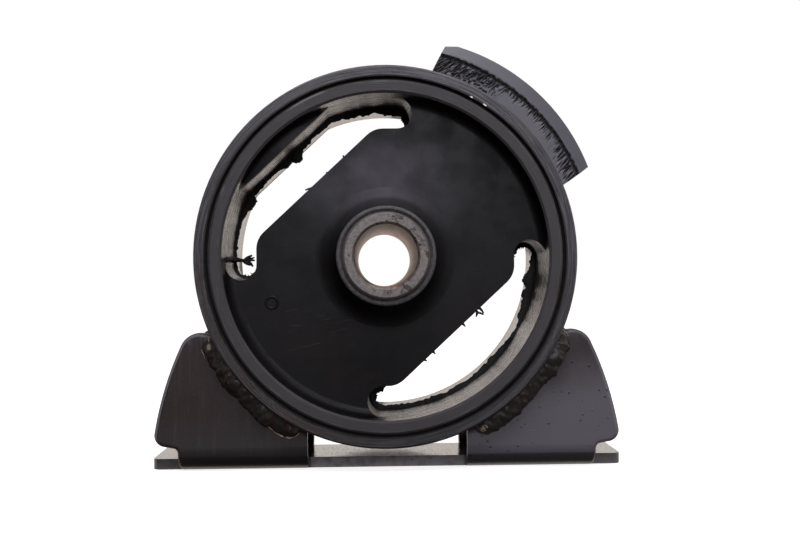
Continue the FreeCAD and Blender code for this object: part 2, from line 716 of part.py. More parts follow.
def main():
    """Builds every sub-part and writes each to its own file."""
    mount = Mount()
    bodies = [
        outer_tube(mount),
        bush_outer_shell(mount),
        inner_sleeve(mount),
        rubber_spring(mount),
        stopper_block(mount),
        mounting_bracket(mount),
    ]
    for face in ("front", "rear"):
        for side in ("left", "right"):
            bodies.append(weld_bead(mount, "weld_%s_%s" % (face, side), side, face))
    mount.document.recompute()
    check(mount.document, bodies)
    os.makedirs("parts", exist_ok=True)
    for body in bodies:
        body.Shape.exportStep("parts/%s.step" % body.Label)
        box = body.Shape.BoundBox
        print("%-20s volume %9.1f  X %.2f %.2f  Y %.2f %.2f  Z %.2f %.2f" % (
            body.Label, body.Shape.Volume, box.XMin, box.XMax,
            box.YMin, box.YMax, box.ZMin, box.ZMax))


main()
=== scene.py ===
"""The engine mount's looks: finishes, torn rubber, weld beads and a plain studio.

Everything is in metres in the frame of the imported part: the bolt's bore lies along Y, the
front faces -Y and the bracket's underside faces -Z. Angles round the bore are in degrees,
anticlockwise from +X as seen from the front.
"""

import logging
import math
import random
from dataclasses import dataclass
from enum import Enum
from functools import cached_property
from typing import Any, Iterable, Union

import bmesh
import bpy
from mathutils import Matrix, Vector, noise


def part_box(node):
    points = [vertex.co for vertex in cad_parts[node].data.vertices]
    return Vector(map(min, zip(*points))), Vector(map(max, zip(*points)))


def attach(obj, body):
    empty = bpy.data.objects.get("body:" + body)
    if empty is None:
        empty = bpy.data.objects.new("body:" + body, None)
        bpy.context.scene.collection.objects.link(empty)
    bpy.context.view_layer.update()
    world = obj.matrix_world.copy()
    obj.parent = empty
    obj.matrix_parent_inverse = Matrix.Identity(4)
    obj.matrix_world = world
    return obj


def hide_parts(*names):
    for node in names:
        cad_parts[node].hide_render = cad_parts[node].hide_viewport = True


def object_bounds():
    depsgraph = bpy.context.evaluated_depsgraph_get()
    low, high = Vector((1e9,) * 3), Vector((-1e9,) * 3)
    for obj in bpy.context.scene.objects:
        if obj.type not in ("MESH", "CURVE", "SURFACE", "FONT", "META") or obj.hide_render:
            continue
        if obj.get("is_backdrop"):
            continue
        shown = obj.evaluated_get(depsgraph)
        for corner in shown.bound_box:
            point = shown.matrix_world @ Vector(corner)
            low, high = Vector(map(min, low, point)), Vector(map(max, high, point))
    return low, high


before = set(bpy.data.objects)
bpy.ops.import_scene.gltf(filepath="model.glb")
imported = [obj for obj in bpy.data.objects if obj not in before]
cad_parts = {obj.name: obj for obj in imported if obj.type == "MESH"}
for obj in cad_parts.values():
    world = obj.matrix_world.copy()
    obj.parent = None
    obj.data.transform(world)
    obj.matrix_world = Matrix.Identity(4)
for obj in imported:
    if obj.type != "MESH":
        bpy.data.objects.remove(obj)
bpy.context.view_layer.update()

MM = 0.001
ROOT = "root"
RIM_RADIUS = 40.0
log = logging.getLogger("engine_mount")

Colour = tuple[float, float, float]
Term = Union["Wire", float, int, Colour]


class Side(Enum):
    """The two sides of the bracket, by the sign of X."""

    LEFT = -1
    RIGHT = 1


class Face(Enum):
    """The two faces of the mount, by the sign of Y."""

    FRONT = -1
    REAR = 1


# ---------------------------------------------------------------- shader graphs


class Wire:
    """A shader output that Python's operators join into Math nodes."""

    def __init__(self, graph: "Graph", socket: bpy.types.NodeSocket) -> None:
        """Keeps the socket and the graph that it belongs to."""
        self.graph = graph
        self.socket = socket

    def _join(self, operation: str, *terms: Term) -> "Wire":
        """Adds one Math node over the terms."""
        return self.graph.node("Math", {"operation": operation}, dict(enumerate(terms)))

    def __add__(self, other: Term) -> "Wire":
        """self + other."""
        return self._join("ADD", self, other)

    __radd__ = __add__

    def __sub__(self, other: Term) -> "Wire":
        """self - other."""
        return self._join("SUBTRACT", self, other)

    def __rsub__(self, other: Term) -> "Wire":
        """other - self."""
        return self._join("SUBTRACT", other, self)

    def __mul__(self, other: Term) -> "Wire":
        """self * other."""
        return self._join("MULTIPLY", self, other)

    __rmul__ = __mul__

    def __truediv__(self, other: Term) -> "Wire":
        """self / other."""
        return self._join("DIVIDE", self, other)

    def __pow__(self, other: Term) -> "Wire":
        """self ** other."""
        return self._join("POWER", self, other)

    def __abs__(self) -> "Wire":
        """The size of self, without its sign."""
        return self._join("ABSOLUTE", self)


class Graph:
    """One material's nodes, with the patterns that the finishes share.

    Patterns read object coordinates in millimetres, so a scale of 1 is a feature of 1 mm.
    """

    def __init__(self, name: str) -> None:
        """Makes an empty material of that name.

        Args:
            name: The material's name.
        """
        self.material = bpy.data.materials.new(name)
        self.material.use_nodes = True
        self.tree = self.material.node_tree
        self.tree.nodes.clear()

    @classmethod
    def over(cls, tree: bpy.types.NodeTree) -> "Graph":
        """A graph that fills another tree, such as the world's.

        Args:
            tree: The tree to empty and fill.

        Returns:
            The graph.
        """
        graph = cls.__new__(cls)
        graph.tree = tree
        tree.nodes.clear()
        return graph

    def node(self, kind: str, settings: dict[str, Any] | None = None,
             sockets: dict[str | int, Term] | None = None, output: str | int = 0) -> Wire:
        """Adds a node, sets it up and then fills its sockets.

        Args:
            kind: The node's type without its ShaderNode prefix.
            settings: Properties to set first, such as a Math node's operation.
            sockets: Values or wires for its inputs, by name or number.
            output: The output to return.

        Returns:
            A wire on that output.
        """
        made = self.tree.nodes.new("ShaderNode" + kind)
        for key, setting in (settings or {}).items():
            setattr(made, key, setting)
        for key, term in (sockets or {}).items():
            if isinstance(term, Wire):
                self.tree.links.new(term.socket, made.inputs[key])
            elif isinstance(term, tuple) and made.inputs[key].type == "RGBA":
                made.inputs[key].default_value = (*term, 1.0)
            else:
                made.inputs[key].default_value = term
        return Wire(self, made.outputs[output]) if made.outputs else Wire(self, None)

    @cached_property
    def place(self) -> Wire:
        """Object coordinates in millimetres.

        Returns:
            A wire on the coordinates.
        """
        raw = self.node("TexCoord", output="Object")
        size = (1 / MM, 1 / MM, 1 / MM)
        return self.node("Mapping", {"vector_type": "POINT"}, {"Vector": raw, "Scale": size})

    @cached_property
    def xyz(self) -> tuple[Wire, Wire, Wire]:
        """The three coordinates in millimetres.

        Returns:
            Wires on X, Y and Z.
        """
        split = self.node("SeparateXYZ", None, {0: self.place})
        outputs = split.socket.node.outputs
        return Wire(self, outputs[0]), Wire(self, outputs[1]), Wire(self, outputs[2])

    @cached_property
    def radius(self) -> Wire:
        """The distance from the bore's axis in millimetres."""
        across, _, up = self.xyz
        return (across * across + up * up) ** 0.5

    @cached_property
    def turn(self) -> Wire:
        """The angle round the bore in degrees, from -180 to 180."""
        across, _, up = self.xyz
        return self.node("Math", {"operation": "ARCTAN2"}, {0: up, 1: across}) * math.degrees(1)

    def vector(self, across: Term, along: Term, up: Term) -> Wire:
        """Three numbers as one vector."""
        return self.node("CombineXYZ", None, {0: across, 1: along, 2: up})

    def lathed(self, fine: float, coarse: float) -> Wire:
        """Coordinates that run fast across the ring and slowly round it.

        Args:
            fine: Repeats for each millimetre of radius and length.
            coarse: Repeats for each millimetre round the ring.

        Returns:
            A vector for a noise's coordinates.
        """
        across, along, up = self.xyz
        rim = RIM_RADIUS * coarse
        outward = self.radius * fine
        return self.vector(outward + across / self.radius * rim, along * fine,
                           outward + up / self.radius * rim)

    def noise(self, scale: float, detail: float = 3.0, roughness: float = 0.5,
              where: Wire | None = None) -> Wire:
        """A noise from 0 to 1, with the given features for each millimetre.

        Args:
            scale: Features for each millimetre.
            detail: How many octaves it has.
            roughness: How strong the finer octaves are.
            where: The coordinates, or None for the plain ones.

        Returns:
            A wire on the noise.
        """
        return self.node("TexNoise", {"noise_dimensions": "3D"}, {
            "Vector": where or self.place, "Scale": scale, "Detail": detail,
            "Roughness": roughness})

    def cells(self, scale: float) -> Wire:
        """The distance to the nearest of a field of scattered points."""
        return self.node("TexVoronoi", {"feature": "F1"},
                         {"Vector": self.place, "Scale": scale})

    def rise(self, value: Wire, low: float, high: float) -> Wire:
        """0 at low and 1 at high, smooth between; low may be above high."""
        return self.node("MapRange", {"interpolation_type": "SMOOTHSTEP"},
                         {"Value": value, "From Min": low, "From Max": high})

    def window(self, value: Wire, middle: float, half: float, soft: float) -> Wire:
        """1 within half of the middle, and 0 beyond a soft border."""
        return self.rise(abs(value - middle), half + soft, half)

    def blend(self, share: Term, first: Term, second: Term) -> Wire:
        """A colour from first, at a share of 0, to second, at 1."""
        return self.node("Mix", {"data_type": "RGBA"}, {0: share, 6: first, 7: second}, 2)

    def surface(self, colour: Term, roughness: Term, height: Wire | None = None,
                metallic: Term = 0.0, **uniform: float | Colour) -> Wire:
        """One Principled surface.

        Args:
            colour: The base colour.
            roughness: The roughness.
            height: Relief in millimetres, or None.
            metallic: How metallic the surface is.
            uniform: Plain values for other sockets, with _ for a space in their names.

        Returns:
            The surface's shader.
        """
        sockets: dict[str | int, Term] = {
            "Base Color": colour, "Roughness": roughness, "Metallic": metallic}
        if height is not None:
            sockets["Normal"] = self.node("Bump", None, {
                "Strength": 1.0, "Distance": MM, "Height": height})
        for key, number in uniform.items():
            sockets[key.replace("_", " ")] = number
        return self.node("BsdfPrincipled", None, sockets)

    def finish(self, shader: Wire) -> bpy.types.Material:
        """Ends the graph in a shader and returns its material."""
        self.node("OutputMaterial", None, {"Surface": shader})
        return self.material


# ---------------------------------------------------------------- finishes


@dataclass(frozen=True)
class RingCoat:
    """Black coat over the lathe-turned ring, with specks, rust and two bare nicks, a painted sheen
    towards its top and painted shade towards its bottom.
    """

    coat: Colour = (0.024, 0.023, 0.026)
    # dust tone, also used for the painted sheen towards the top of the ring
    dust_and_top_sheen: Colour = (0.100, 0.096, 0.107)
    # painted shade: the colour that darkens the bottom of the ring
    low: Colour = (0.014, 0.013, 0.013)
    shadow: Colour = (0.003, 0.0028, 0.0028)
    rust: Colour = (0.040, 0.024, 0.017)
    bare: Colour = (0.86, 0.84, 0.80)
    speck: Colour = (0.006, 0.005, 0.005)
    inner_radius: float = 38.3
    nicks: tuple[tuple[float, float], ...] = ((56.3, 0.55), (61.2, 0.35))

    def material(self) -> bpy.types.Material:
        """Makes the coat.

        Returns:
            The material.
        """
        g = Graph("ring_coat")
        lines = g.noise(1.0, 5.0, 0.66, g.lathed(3.6, 0.12))
        dashes = g.rise(g.noise(1.0, 2.0, 0.5, g.lathed(4.5, 0.5)), 0.58, 0.74)
        mottle = g.noise(0.22, 4.0, 0.6)
        rusty = g.rise(g.noise(0.9, 5.0, 0.65), 0.40, 0.62) * self._low_left(g)
        specks = g.rise(g.cells(1.9), 0.16, 0.08) * g.rise(g.noise(0.5), 0.5, 0.62)
        shade = g.rise(lines, 0.41, 0.59) * 1.1 + mottle * 0.3 + dashes * 0.7 - 0.40
        # painted sheen: the coat is lightened towards the top of the ring
        shade = shade + g.rise(g.xyz[2], 12.0, 40.0) * 0.38 + g.noise(2.6, 2.0) * 0.5 - 0.25
        colour = g.blend(shade, self.coat, self.dust_and_top_sheen)
        # painted shade: the coat is darkened towards the bottom of the ring
        colour = g.blend(g.rise(g.xyz[2], 2.0, -30.0) * 0.72, colour, self.low)
        colour = g.blend(specks * 0.8, colour, self.speck)
        colour = g.blend(rusty * 0.8, colour, self.rust)
        inner = g.rise(g.radius, self.inner_radius + 0.42, self.inner_radius + 0.2)
        colour = g.blend(inner, colour, self.shadow)
        nick = self._nick_mask(g)
        colour = g.blend(nick, colour, self.bare)
        height = lines * 0.17 - specks * 0.05 + g.noise(2.2, 4.0) * 0.04 - nick * 0.05
        rough = 0.33 + mottle * 0.12 + dashes * 0.14 + rusty * 0.2 + inner * 0.3
        return g.finish(g.surface(colour, rough, height, nick))

    @staticmethod
    def _low_left(g: Graph) -> Wire:
        """1 on the lower left of the ring, where rust has bled from the weld."""
        return g.window(g.turn, -142.0, 30.0, 22.0)

    def _nick_mask(self, g: Graph) -> Wire:
        """1 on the bare nicks of the inner edge.

        Args:
            g: The finish's graph.

        Returns:
            The mask.
        """
        edge = g.window(g.radius, self.inner_radius, 0.22, 0.12)
        front = g.rise(g.xyz[1], -20.0, -20.3)
        spots = [g.window(g.turn, angle, half, 0.12) for angle, half in self.nicks]
        total = spots[0]
        for spot in spots[1:]:
            total = total + spot
        return total * edge * front


@dataclass(frozen=True)
class SheetCoat:
    """Black coat on the folded bracket: satin, with specks, drag lines and dust, painted shade on the
    left ear, painted light and a painted reflection on the right ear, painted highlights on the ears'
    rounded edges and painted shade in the bends and at the ears' very rims.
    """

    # painted shade: the left ear is coloured darker and browner than the right
    left: Colour = (0.022, 0.0125, 0.0122)
    left_low: Colour = (0.028, 0.024, 0.025)
    # painted light: the right ear is coloured lighter than the left
    right: Colour = (0.026, 0.019, 0.019)
    # painted reflection: a pale bluish patch low on the right ear
    right_low_painted_reflection: Colour = (0.108, 0.100, 0.118)
    runs: Colour = (0.080, 0.080, 0.098)
    # painted highlight colour for the ears' rounded edges
    rim: Colour = (0.17, 0.165, 0.19)
    # painted shade colour for the bends under the ears and the ears' very rims
    painted_black_shade: Colour = (0.008, 0.007, 0.007)
    edge: Colour = (0.105, 0.100, 0.108)
    dust: Colour = (0.10, 0.085, 0.078)
    pitted: Colour = (0.008, 0.007, 0.007)
    bend_top: float = -42.4
    base_top: float = -43.7
    base_half_width: float = 9.8

    def material(self) -> bpy.types.Material:
        """Makes the coat.

        Returns:
            The material.
        """
        g = Graph("sheet_coat")
        across, along, up = g.xyz
        mottle = g.noise(0.12, 4.0, 0.55)
        drag = g.noise(1.0, 3.0, 0.6, g.vector(across * 2.4, along * 0.3, up * 0.12))
        grit = g.rise(g.cells(0.62), 0.19, 0.10) * g.rise(g.noise(0.35, 2.0), 0.46, 0.56)
        fine = g.rise(g.cells(1.7), 0.10, 0.05)
        on_base = g.rise(up, self.base_top + 0.3, self.base_top + 0.02)
        on_base = on_base * g.rise(abs(along), self.base_half_width, self.base_half_width - 0.4)
        lean = up + mottle * 6.0 - abs(across) * 0.15
        # painted light and shade: the left ear darker, the right ear lighter, with a pale bluish
        # painted reflection low on the right
        left = g.blend(g.rise(up, -33.0, -41.0), self.left, self.left_low)
        right = g.blend(g.rise(lean, -23.0, -36.0), self.right, self.right_low_painted_reflection)
        colour = g.blend(g.rise(across, -16.0, 16.0), left, right)
        colour = g.blend(self._runs(g) * 0.8, colour, self.runs)
        colour = g.blend(g.rise(drag, 0.5, 0.85) * 0.22 + fine * 0.25, colour, self.dust)
        # painted shade: the bends under the ears are darkened towards black
        painted_black_shade = g.rise(up, self.bend_top, self.bend_top - 0.7) * g.rise(up, -46.2, -45.6)
        colour = g.blend(painted_black_shade * 0.7, colour, self.painted_black_shade)
        colour = self._painted_rim_highlights(g, colour)
        colour = g.blend(self._strip_edge(g), colour, self.edge)
        grit = grit * (0.12 + g.rise(across, -8.0, 8.0) * 0.88)
        colour = g.blend(grit * 0.75, colour, self.pitted)
        height = g.noise(1.4, 3.0) * 0.012 + drag * 0.010 + grit * 0.08 + fine * 0.02
        rough = 0.33 + mottle * 0.14 + g.rise(drag, 0.45, 0.8) * 0.08
        rough = rough - on_base * (0.33 - g.rise(drag, 0.40, 0.65) * 0.08)
        return g.finish(g.surface(colour, rough, height))

    @staticmethod
    def _runs(g: Graph) -> Wire:
        """1 where the coat has run together at the tops of the ears.

        Args:
            g: The finish's graph.

        Returns:
            The mask.
        """
        across, _, up = g.xyz
        streaks = g.noise(1.0, 2.0, 0.6, g.vector(across * 0.7, 0.0, up * 0.25))
        top = g.rise(up + streaks * 4.0, -17.0, -14.0)
        return top * (0.35 + g.rise(streaks, 0.42, 0.60) * 0.65)

    def _painted_rim_highlights(self, g: Graph, colour: Wire) -> Wire:
        """The colour with painted highlights on the ears' rounded edges, and painted black shade at
        their very rim.

        Args:
            g: The finish's graph.
            colour: The colour so far.

        Returns:
            The new colour.
        """
        normal = g.node("SeparateXYZ", None, {0: g.node("NewGeometry", output="Normal")})
        facing = abs(Wire(g, normal.socket.node.outputs[1]))
        across, _, up = g.xyz
        on_ear = g.rise(up, -39.5, -38.5)
        share = 0.4 + g.rise(across, 10.0, -10.0) * 0.5
        # painted highlight on the rounded edges, stronger on the left ear, then painted black shade
        # at the very rim
        light = g.rise(facing, 0.995, 0.93) * g.rise(facing, 0.55, 0.70)
        colour = g.blend(light * on_ear * share, colour, self.rim)
        return g.blend(g.rise(facing, 0.60, 0.45) * on_ear * 0.8, colour, self.painted_black_shade)

    def _strip_edge(self, g: Graph) -> Wire:
        """1 on the cut edges of the base strip, where it isn't bent up.

        Args:
            g: The finish's graph.

        Returns:
            The mask.
        """
        across, _, up = g.xyz
        size = abs(across)
        bare = g.rise(size, 17.0, 16.6) + g.rise(size, 45.6, 46.0)
        low = g.rise(up, self.base_top + 0.1, self.base_top - 0.2)
        patch = g.rise(g.noise(0.5, 3.0), 0.35, 0.6)
        return bare * low * (0.35 + patch * 0.5) * (1 - g.rise(size, 45.6, 46.0) * 0.5)


@dataclass(frozen=True)
class MouldedRubber:
    """The bush's rubber: matt lips, a smooth web with a painted sheen above the sleeve, glossier
    window walls whose beige is a painted reflection, and painted shade on the bump stop's faces and
    the collar's flare.
    """

    web: Colour = (0.0042, 0.0036, 0.0040)
    # painted sheen colour for the web above the sleeve
    painted_sheen: Colour = (0.060, 0.057, 0.068)
    collar: Colour = (0.12, 0.115, 0.12)
    lip: Colour = (0.053, 0.050, 0.053)
    scuffed: Colour = (0.094, 0.090, 0.093)
    # painted reflection: the beige that the window walls show at grazing angles
    wall_left_painted_reflection: Colour = (0.115, 0.084, 0.068)
    wall_right_painted_reflection: Colour = (0.060, 0.047, 0.040)
    # painted highlight colour for the lips' outer rim
    bare_rim: Colour = (0.15, 0.14, 0.14)
    wall_dark: Colour = (0.018, 0.012, 0.010)
    brown: Colour = (0.020, 0.010, 0.007)
    streaked: Colour = (0.030, 0.028, 0.030)
    # painted shade colour for the bump stop's faces
    stop_face: Colour = (0.002, 0.0018, 0.0018)
    stop_angle: float = 132.8
    web_face: float = 13.3
    lip_face: float = 20.0
    collar_face: float = 28.9

    def material(self) -> bpy.types.Material:
        """Makes the rubber.

        Returns:
            The material.
        """
        g = Graph("moulded_rubber")
        depth = abs(g.xyz[1])
        fine = g.noise(1.6, 4.0, 0.6)
        in_window = g.rise(depth, self.web_face, self.web_face - 0.8)
        in_window = in_window * g.rise(g.radius, 20.5, 21.5)
        in_window = g.node("Math", {"operation": "MAXIMUM"}, {
            0: in_window, 1: self._lining(g, depth)})
        in_window = in_window * (1 - self._stop_face(g, depth))
        in_window = in_window * (1 - self._end_rounds(g, depth))
        face = g.surface(*self._face(g, depth, fine), Specular_IOR_Level=0.18)
        wall = g.surface(*self._wall(g, fine), Specular_IOR_Level=1.0, IOR=1.75)
        return g.finish(g.node("MixShader", None, {0: in_window, 1: face, 2: wall}))

    def _lining(self, g: Graph, depth: Wire) -> Wire:
        """1 on the lining between the windows and the lips.

        Args:
            g: The finish's graph.
            depth: The distance from the middle plane in millimetres.

        Returns:
            The mask.
        """
        beside = g.window(g.turn, 134.0, 46.0, 3.0) + g.window(g.turn, -44.0, 45.0, 3.0)
        inside = g.rise(depth, self.lip_face, self.lip_face - 0.3)
        return g.rise(g.radius, 34.2, 34.6) * inside * beside

    def _stop_face(self, g: Graph, depth: Wire) -> Wire:
        """1 on the bump stop's two faces and on the lining over them."""
        beside = g.window(g.turn, self.stop_angle, 18.8, 1.6) * g.rise(g.radius, 30.5, 31.2)
        return beside * g.rise(depth, 14.1, 14.4) * g.rise(depth, 19.9, 19.6)

    def _face(self, g: Graph, depth: Wire, fine: Wire) -> tuple[Wire, Wire, Wire]:
        """The colour, roughness and relief of the web, the lips and the collar.

        Args:
            g: The finish's graph.
            depth: The distance from the middle plane in millimetres.
            fine: The fine grain, from 0 to 1.

        Returns:
            The colour, the roughness and the relief in millimetres.
        """
        across, along, up = g.xyz
        on_lip = g.rise(depth, self.lip_face - 0.5, self.lip_face) * g.rise(g.radius, 33.0, 34.0)
        collar = g.rise(depth, self.collar_face - 0.6, self.collar_face - 0.1)
        cloud = g.noise(0.10, 4.0, 0.6)
        # painted sheen: a pale bluish patch on the web above the sleeve, where light catches it
        aside = (across + 1.0) / 21.0
        above = (up - 17.0) / 15.0
        near = g.rise((aside * aside + above * above) ** 0.5, 1.25, 0.1)
        painted_sheen = near * (0.55 + g.rise(cloud, 0.35, 0.65) * 0.45)
        scuff = g.rise(g.noise(1.0, 3.0, 0.6, g.lathed(1.6, 0.2)), 0.55, 0.75)
        drag = g.rise(g.noise(1.0, 2.0, 0.5, g.vector(
            across * 0.16, along * 0.5, up * 1.5 - across * 0.25)), 0.60, 0.72)
        streak = drag * g.window(across, -15.0, 6.0, 4.0) * g.window(up, -16.0, 3.0, 3.0)
        brown = g.rise(g.noise(0.12, 3.0, 0.6), 0.45, 0.7) * g.rise(up, -5.0, -25.0)
        colour = g.blend(painted_sheen * 0.9 + fine * 0.06, self.web, self.painted_sheen)
        colour = g.blend(brown * 0.4, colour, self.brown)
        colour = g.blend(streak * 0.5, colour, self.streaked)
        # painted shade: the collar's flare is darkened back to the web's black, holding down the
        # highlight it catches
        flare = g.rise(g.radius, 17.5, 14.5) * g.rise(depth, self.web_face + 0.1, 14.2)
        colour = g.blend(flare * 0.7, colour, self.web)
        scuffs = g.blend(scuff * 0.7 + fine * 0.25, self.lip, self.scuffed)
        # painted highlight in broken lines along the lips' outer rim
        colour = g.blend(on_lip, colour, g.blend(self._painted_lip_rim_highlight(g), scuffs, self.bare_rim))
        colour = g.blend(collar, colour, g.blend(fine * 1.4, self.web, self.collar))
        # painted shade: the bump stop's faces are coloured near black
        colour = g.blend(self._stop_face(g, depth), colour, self.stop_face)
        patch = g.rise(g.noise(0.16, 4.0, 0.65), 0.40, 0.62)
        rough = 0.36 + fine * 0.10 + on_lip * 0.12 + patch * 0.14 + flare * 0.2
        height = fine * 0.014 + scuff * on_lip * 0.08 + streak * 0.02
        return colour, rough, height

    @staticmethod
    def _painted_lip_rim_highlight(g: Graph) -> Wire:
        """1 in broken lines near the lips' outer rim, strongest on the upper left, where a highlight
        is painted.

        Args:
            g: The finish's graph.

        Returns:
            The mask.
        """
        rim = g.window(g.radius, 37.3, 0.16, 0.16)
        broken = g.rise(g.noise(0.09, 2.0), 0.46, 0.58)
        return rim * broken * (0.25 + g.window(g.turn, 150.0, 55.0, 15.0) * 0.75)

    def _wall(self, g: Graph, fine: Wire) -> tuple[Wire, Wire, Wire]:
        """The colour, roughness and relief of the windows' walls, whose beige is a painted reflection
        of the bright surroundings.

        Args:
            g: The finish's graph.
            fine: The fine grain, from 0 to 1.

        Returns:
            The colour, the roughness and the relief in millimetres.
        """
        across, along, up = g.xyz
        rings = g.noise(1.0, 3.0, 0.6, g.vector(across * 0.07, along * 2.0, up * 0.07))
        dark = g.rise(rings, 0.44, 0.62)
        smear = g.rise(g.noise(0.30, 3.0, 0.6), 0.50, 0.68)
        outer = g.rise(g.radius, 32.6, 33.8)
        stop = g.window(g.turn, self.stop_angle, 21.0, 2.0) * g.rise(g.radius, 31.2, 31.8)
        lit = g.node("Math", {"operation": "MAXIMUM"}, {0: outer, 1: stop})
        # painted reflection: beige on the lit outer walls and the stop, paler on the left, broken by
        # dark streaks
        colour = g.blend(g.rise(across, -6.0, 6.0), self.wall_left_painted_reflection, self.wall_right_painted_reflection)
        stained = 0.35 + g.rise(across, -6.0, 6.0) * 0.5
        colour = g.blend((dark * 0.7 + smear * 0.4) * stained, colour, self.wall_dark)
        colour = g.blend(lit, self.web, colour)
        rough = 0.15 + fine * 0.08 + dark * 0.12 + (1 - lit) * 0.3
        return colour, rough, rings * 0.12

    def _end_rounds(self, g: Graph, depth: Wire) -> Wire:
        """1 on the right window's end rounds, which lie in shadow but for a thin line.

        Args:
            g: The finish's graph.
            depth: The distance from the middle plane in millimetres.

        Returns:
            The mask.
        """
        across, _, up = g.xyz
        upper = g.rise(across, 20.0, 24.0) * g.rise(up, 0.0, 1.2)
        lower = g.rise(up, -20.0, -24.0) * g.rise(across, -1.2, -2.4)
        line = g.window(depth, 11.9, 0.3, 0.25) * g.rise(across, 29.0, 31.0)
        inside = g.rise(depth, self.web_face + 0.1, self.web_face - 0.2)
        return (upper + lower) * inside * (1 - line * 0.8)


@dataclass(frozen=True)
class TornRubber:
    """Torn and flashed rubber, dull and nearly black."""

    dark: Colour = (0.006, 0.0055, 0.0055)
    light: Colour = (0.022, 0.020, 0.020)

    def material(self) -> bpy.types.Material:
        """Makes the torn rubber.

        Returns:
            The material.
        """
        g = Graph("torn_rubber")
        grain = g.noise(2.2, 5.0, 0.65)
        colour = g.blend(g.rise(grain, 0.45, 0.75), self.dark, self.light)
        return g.finish(g.surface(colour, 0.62 + grain * 0.2, grain * 0.12))


@dataclass(frozen=True)
class BlockRubber:
    """The stop block: smooth and bluish where moulded, dark where its face is torn.

    The mesh's own "torn" attribute says how deep a point lies in a tear.
    """

    smooth: Colour = (0.078, 0.075, 0.090)
    worn: Colour = (0.118, 0.114, 0.130)
    pit: Colour = (0.018, 0.017, 0.018)

    def material(self) -> bpy.types.Material:
        """Makes the block's rubber.

        Returns:
            The material.
        """
        g = Graph("block_rubber")
        torn = g.node("Attribute", {"attribute_type": "GEOMETRY", "attribute_name": "torn"},
                      output="Fac")
        fine = g.noise(2.4, 4.0, 0.6)
        cloud = g.noise(0.3, 3.0, 0.5)
        grit = g.rise(g.noise(1.0, 3.0, 0.7, g.lathed(0.8, 2.2)), 0.5, 0.66) * g.rise(torn, 0.02, 0.2)
        colour = g.blend(cloud * 0.5 + fine * 0.2, self.smooth, self.worn)
        colour = g.blend(g.rise(torn, 0.08, 0.75), colour, self.pit)
        colour = g.blend(grit * 0.4, colour, self.pit)
        rough = 0.42 + fine * 0.12 + g.rise(torn, 0.0, 0.4) * 0.25
        return g.finish(g.surface(colour, rough, fine * 0.02 + grit * 0.06))


@dataclass(frozen=True)
class SleeveSteel:
    """The clamped sleeve: dull pitted ends with painted shade on their outer rim, and a brown oily
    bore.
    """

    end: Colour = (0.235, 0.215, 0.205)
    # stain tone, also used for the painted shade on the ends' chamfered outer rim
    stain_and_rim_shade: Colour = (0.095, 0.086, 0.082)
    pit: Colour = (0.018, 0.015, 0.014)
    bore: Colour = (0.30, 0.140, 0.070)
    bore_dark: Colour = (0.095, 0.041, 0.021)
    bore_radius: float = 6.5
    outer_radius: float = 9.0

    def material(self) -> bpy.types.Material:
        """Makes the steel.

        Returns:
            The material.
        """
        g = Graph("sleeve_steel")
        in_bore = g.rise(g.radius, self.bore_radius + 0.25, self.bore_radius + 0.05)
        rim = g.rise(g.radius, self.outer_radius - 0.45, self.outer_radius - 0.2)
        grain = g.noise(1.3, 5.0, 0.65)
        rings = g.noise(1.0, 3.0, 0.6, g.lathed(3.0, 0.2))
        pits = g.rise(g.cells(0.9), 0.20, 0.10) * g.rise(g.noise(0.6, 2.0), 0.42, 0.54)
        blotch = g.rise(g.noise(0.55, 4.0, 0.65), 0.54, 0.62) * g.rise(g.xyz[0], -3.0, 4.0)
        pits = g.node("Math", {"operation": "MAXIMUM"}, {0: pits, 1: blotch * 0.7})
        colour = g.blend(g.rise(grain, 0.36, 0.70) * 0.7, self.end, self.stain_and_rim_shade)
        colour = g.blend(pits, colour, self.pit)
        # painted shade: the chamfered outer rim of each end takes the darker stain tone
        colour = g.blend(rim, colour, self.stain_and_rim_shade)
        inside = g.blend(g.rise(g.noise(0.5, 4.0), 0.35, 0.65), self.bore, self.bore_dark)
        colour = g.blend(in_bore, colour, inside)
        height = grain * 0.03 + rings * 0.03 - pits * 0.12
        rough = 0.50 + grain * 0.15 - in_bore * 0.12
        metal = 0.55 + in_bore * 0.35 - rim * 0.35
        return g.finish(g.surface(colour, rough, height, metal))


@dataclass(frozen=True)
class DarkSteel:
    """The bush shell's edge, deep in its groove, coloured near black with little shine as painted
    shade.
    """

    colour: Colour = (0.004, 0.0036, 0.0036)
    grainy: Colour = (0.010, 0.008, 0.007)

    def material(self) -> bpy.types.Material:
        """Makes the steel.

        Returns:
            The material.
        """
        g = Graph("dark_steel")
        grain = g.noise(1.2, 4.0, 0.6)
        colour = g.blend(grain * 0.5, self.colour, self.grainy)
        return g.finish(g.surface(colour, 0.55 + grain * 0.2, grain * 0.05,
                                  Specular_IOR_Level=0.1))


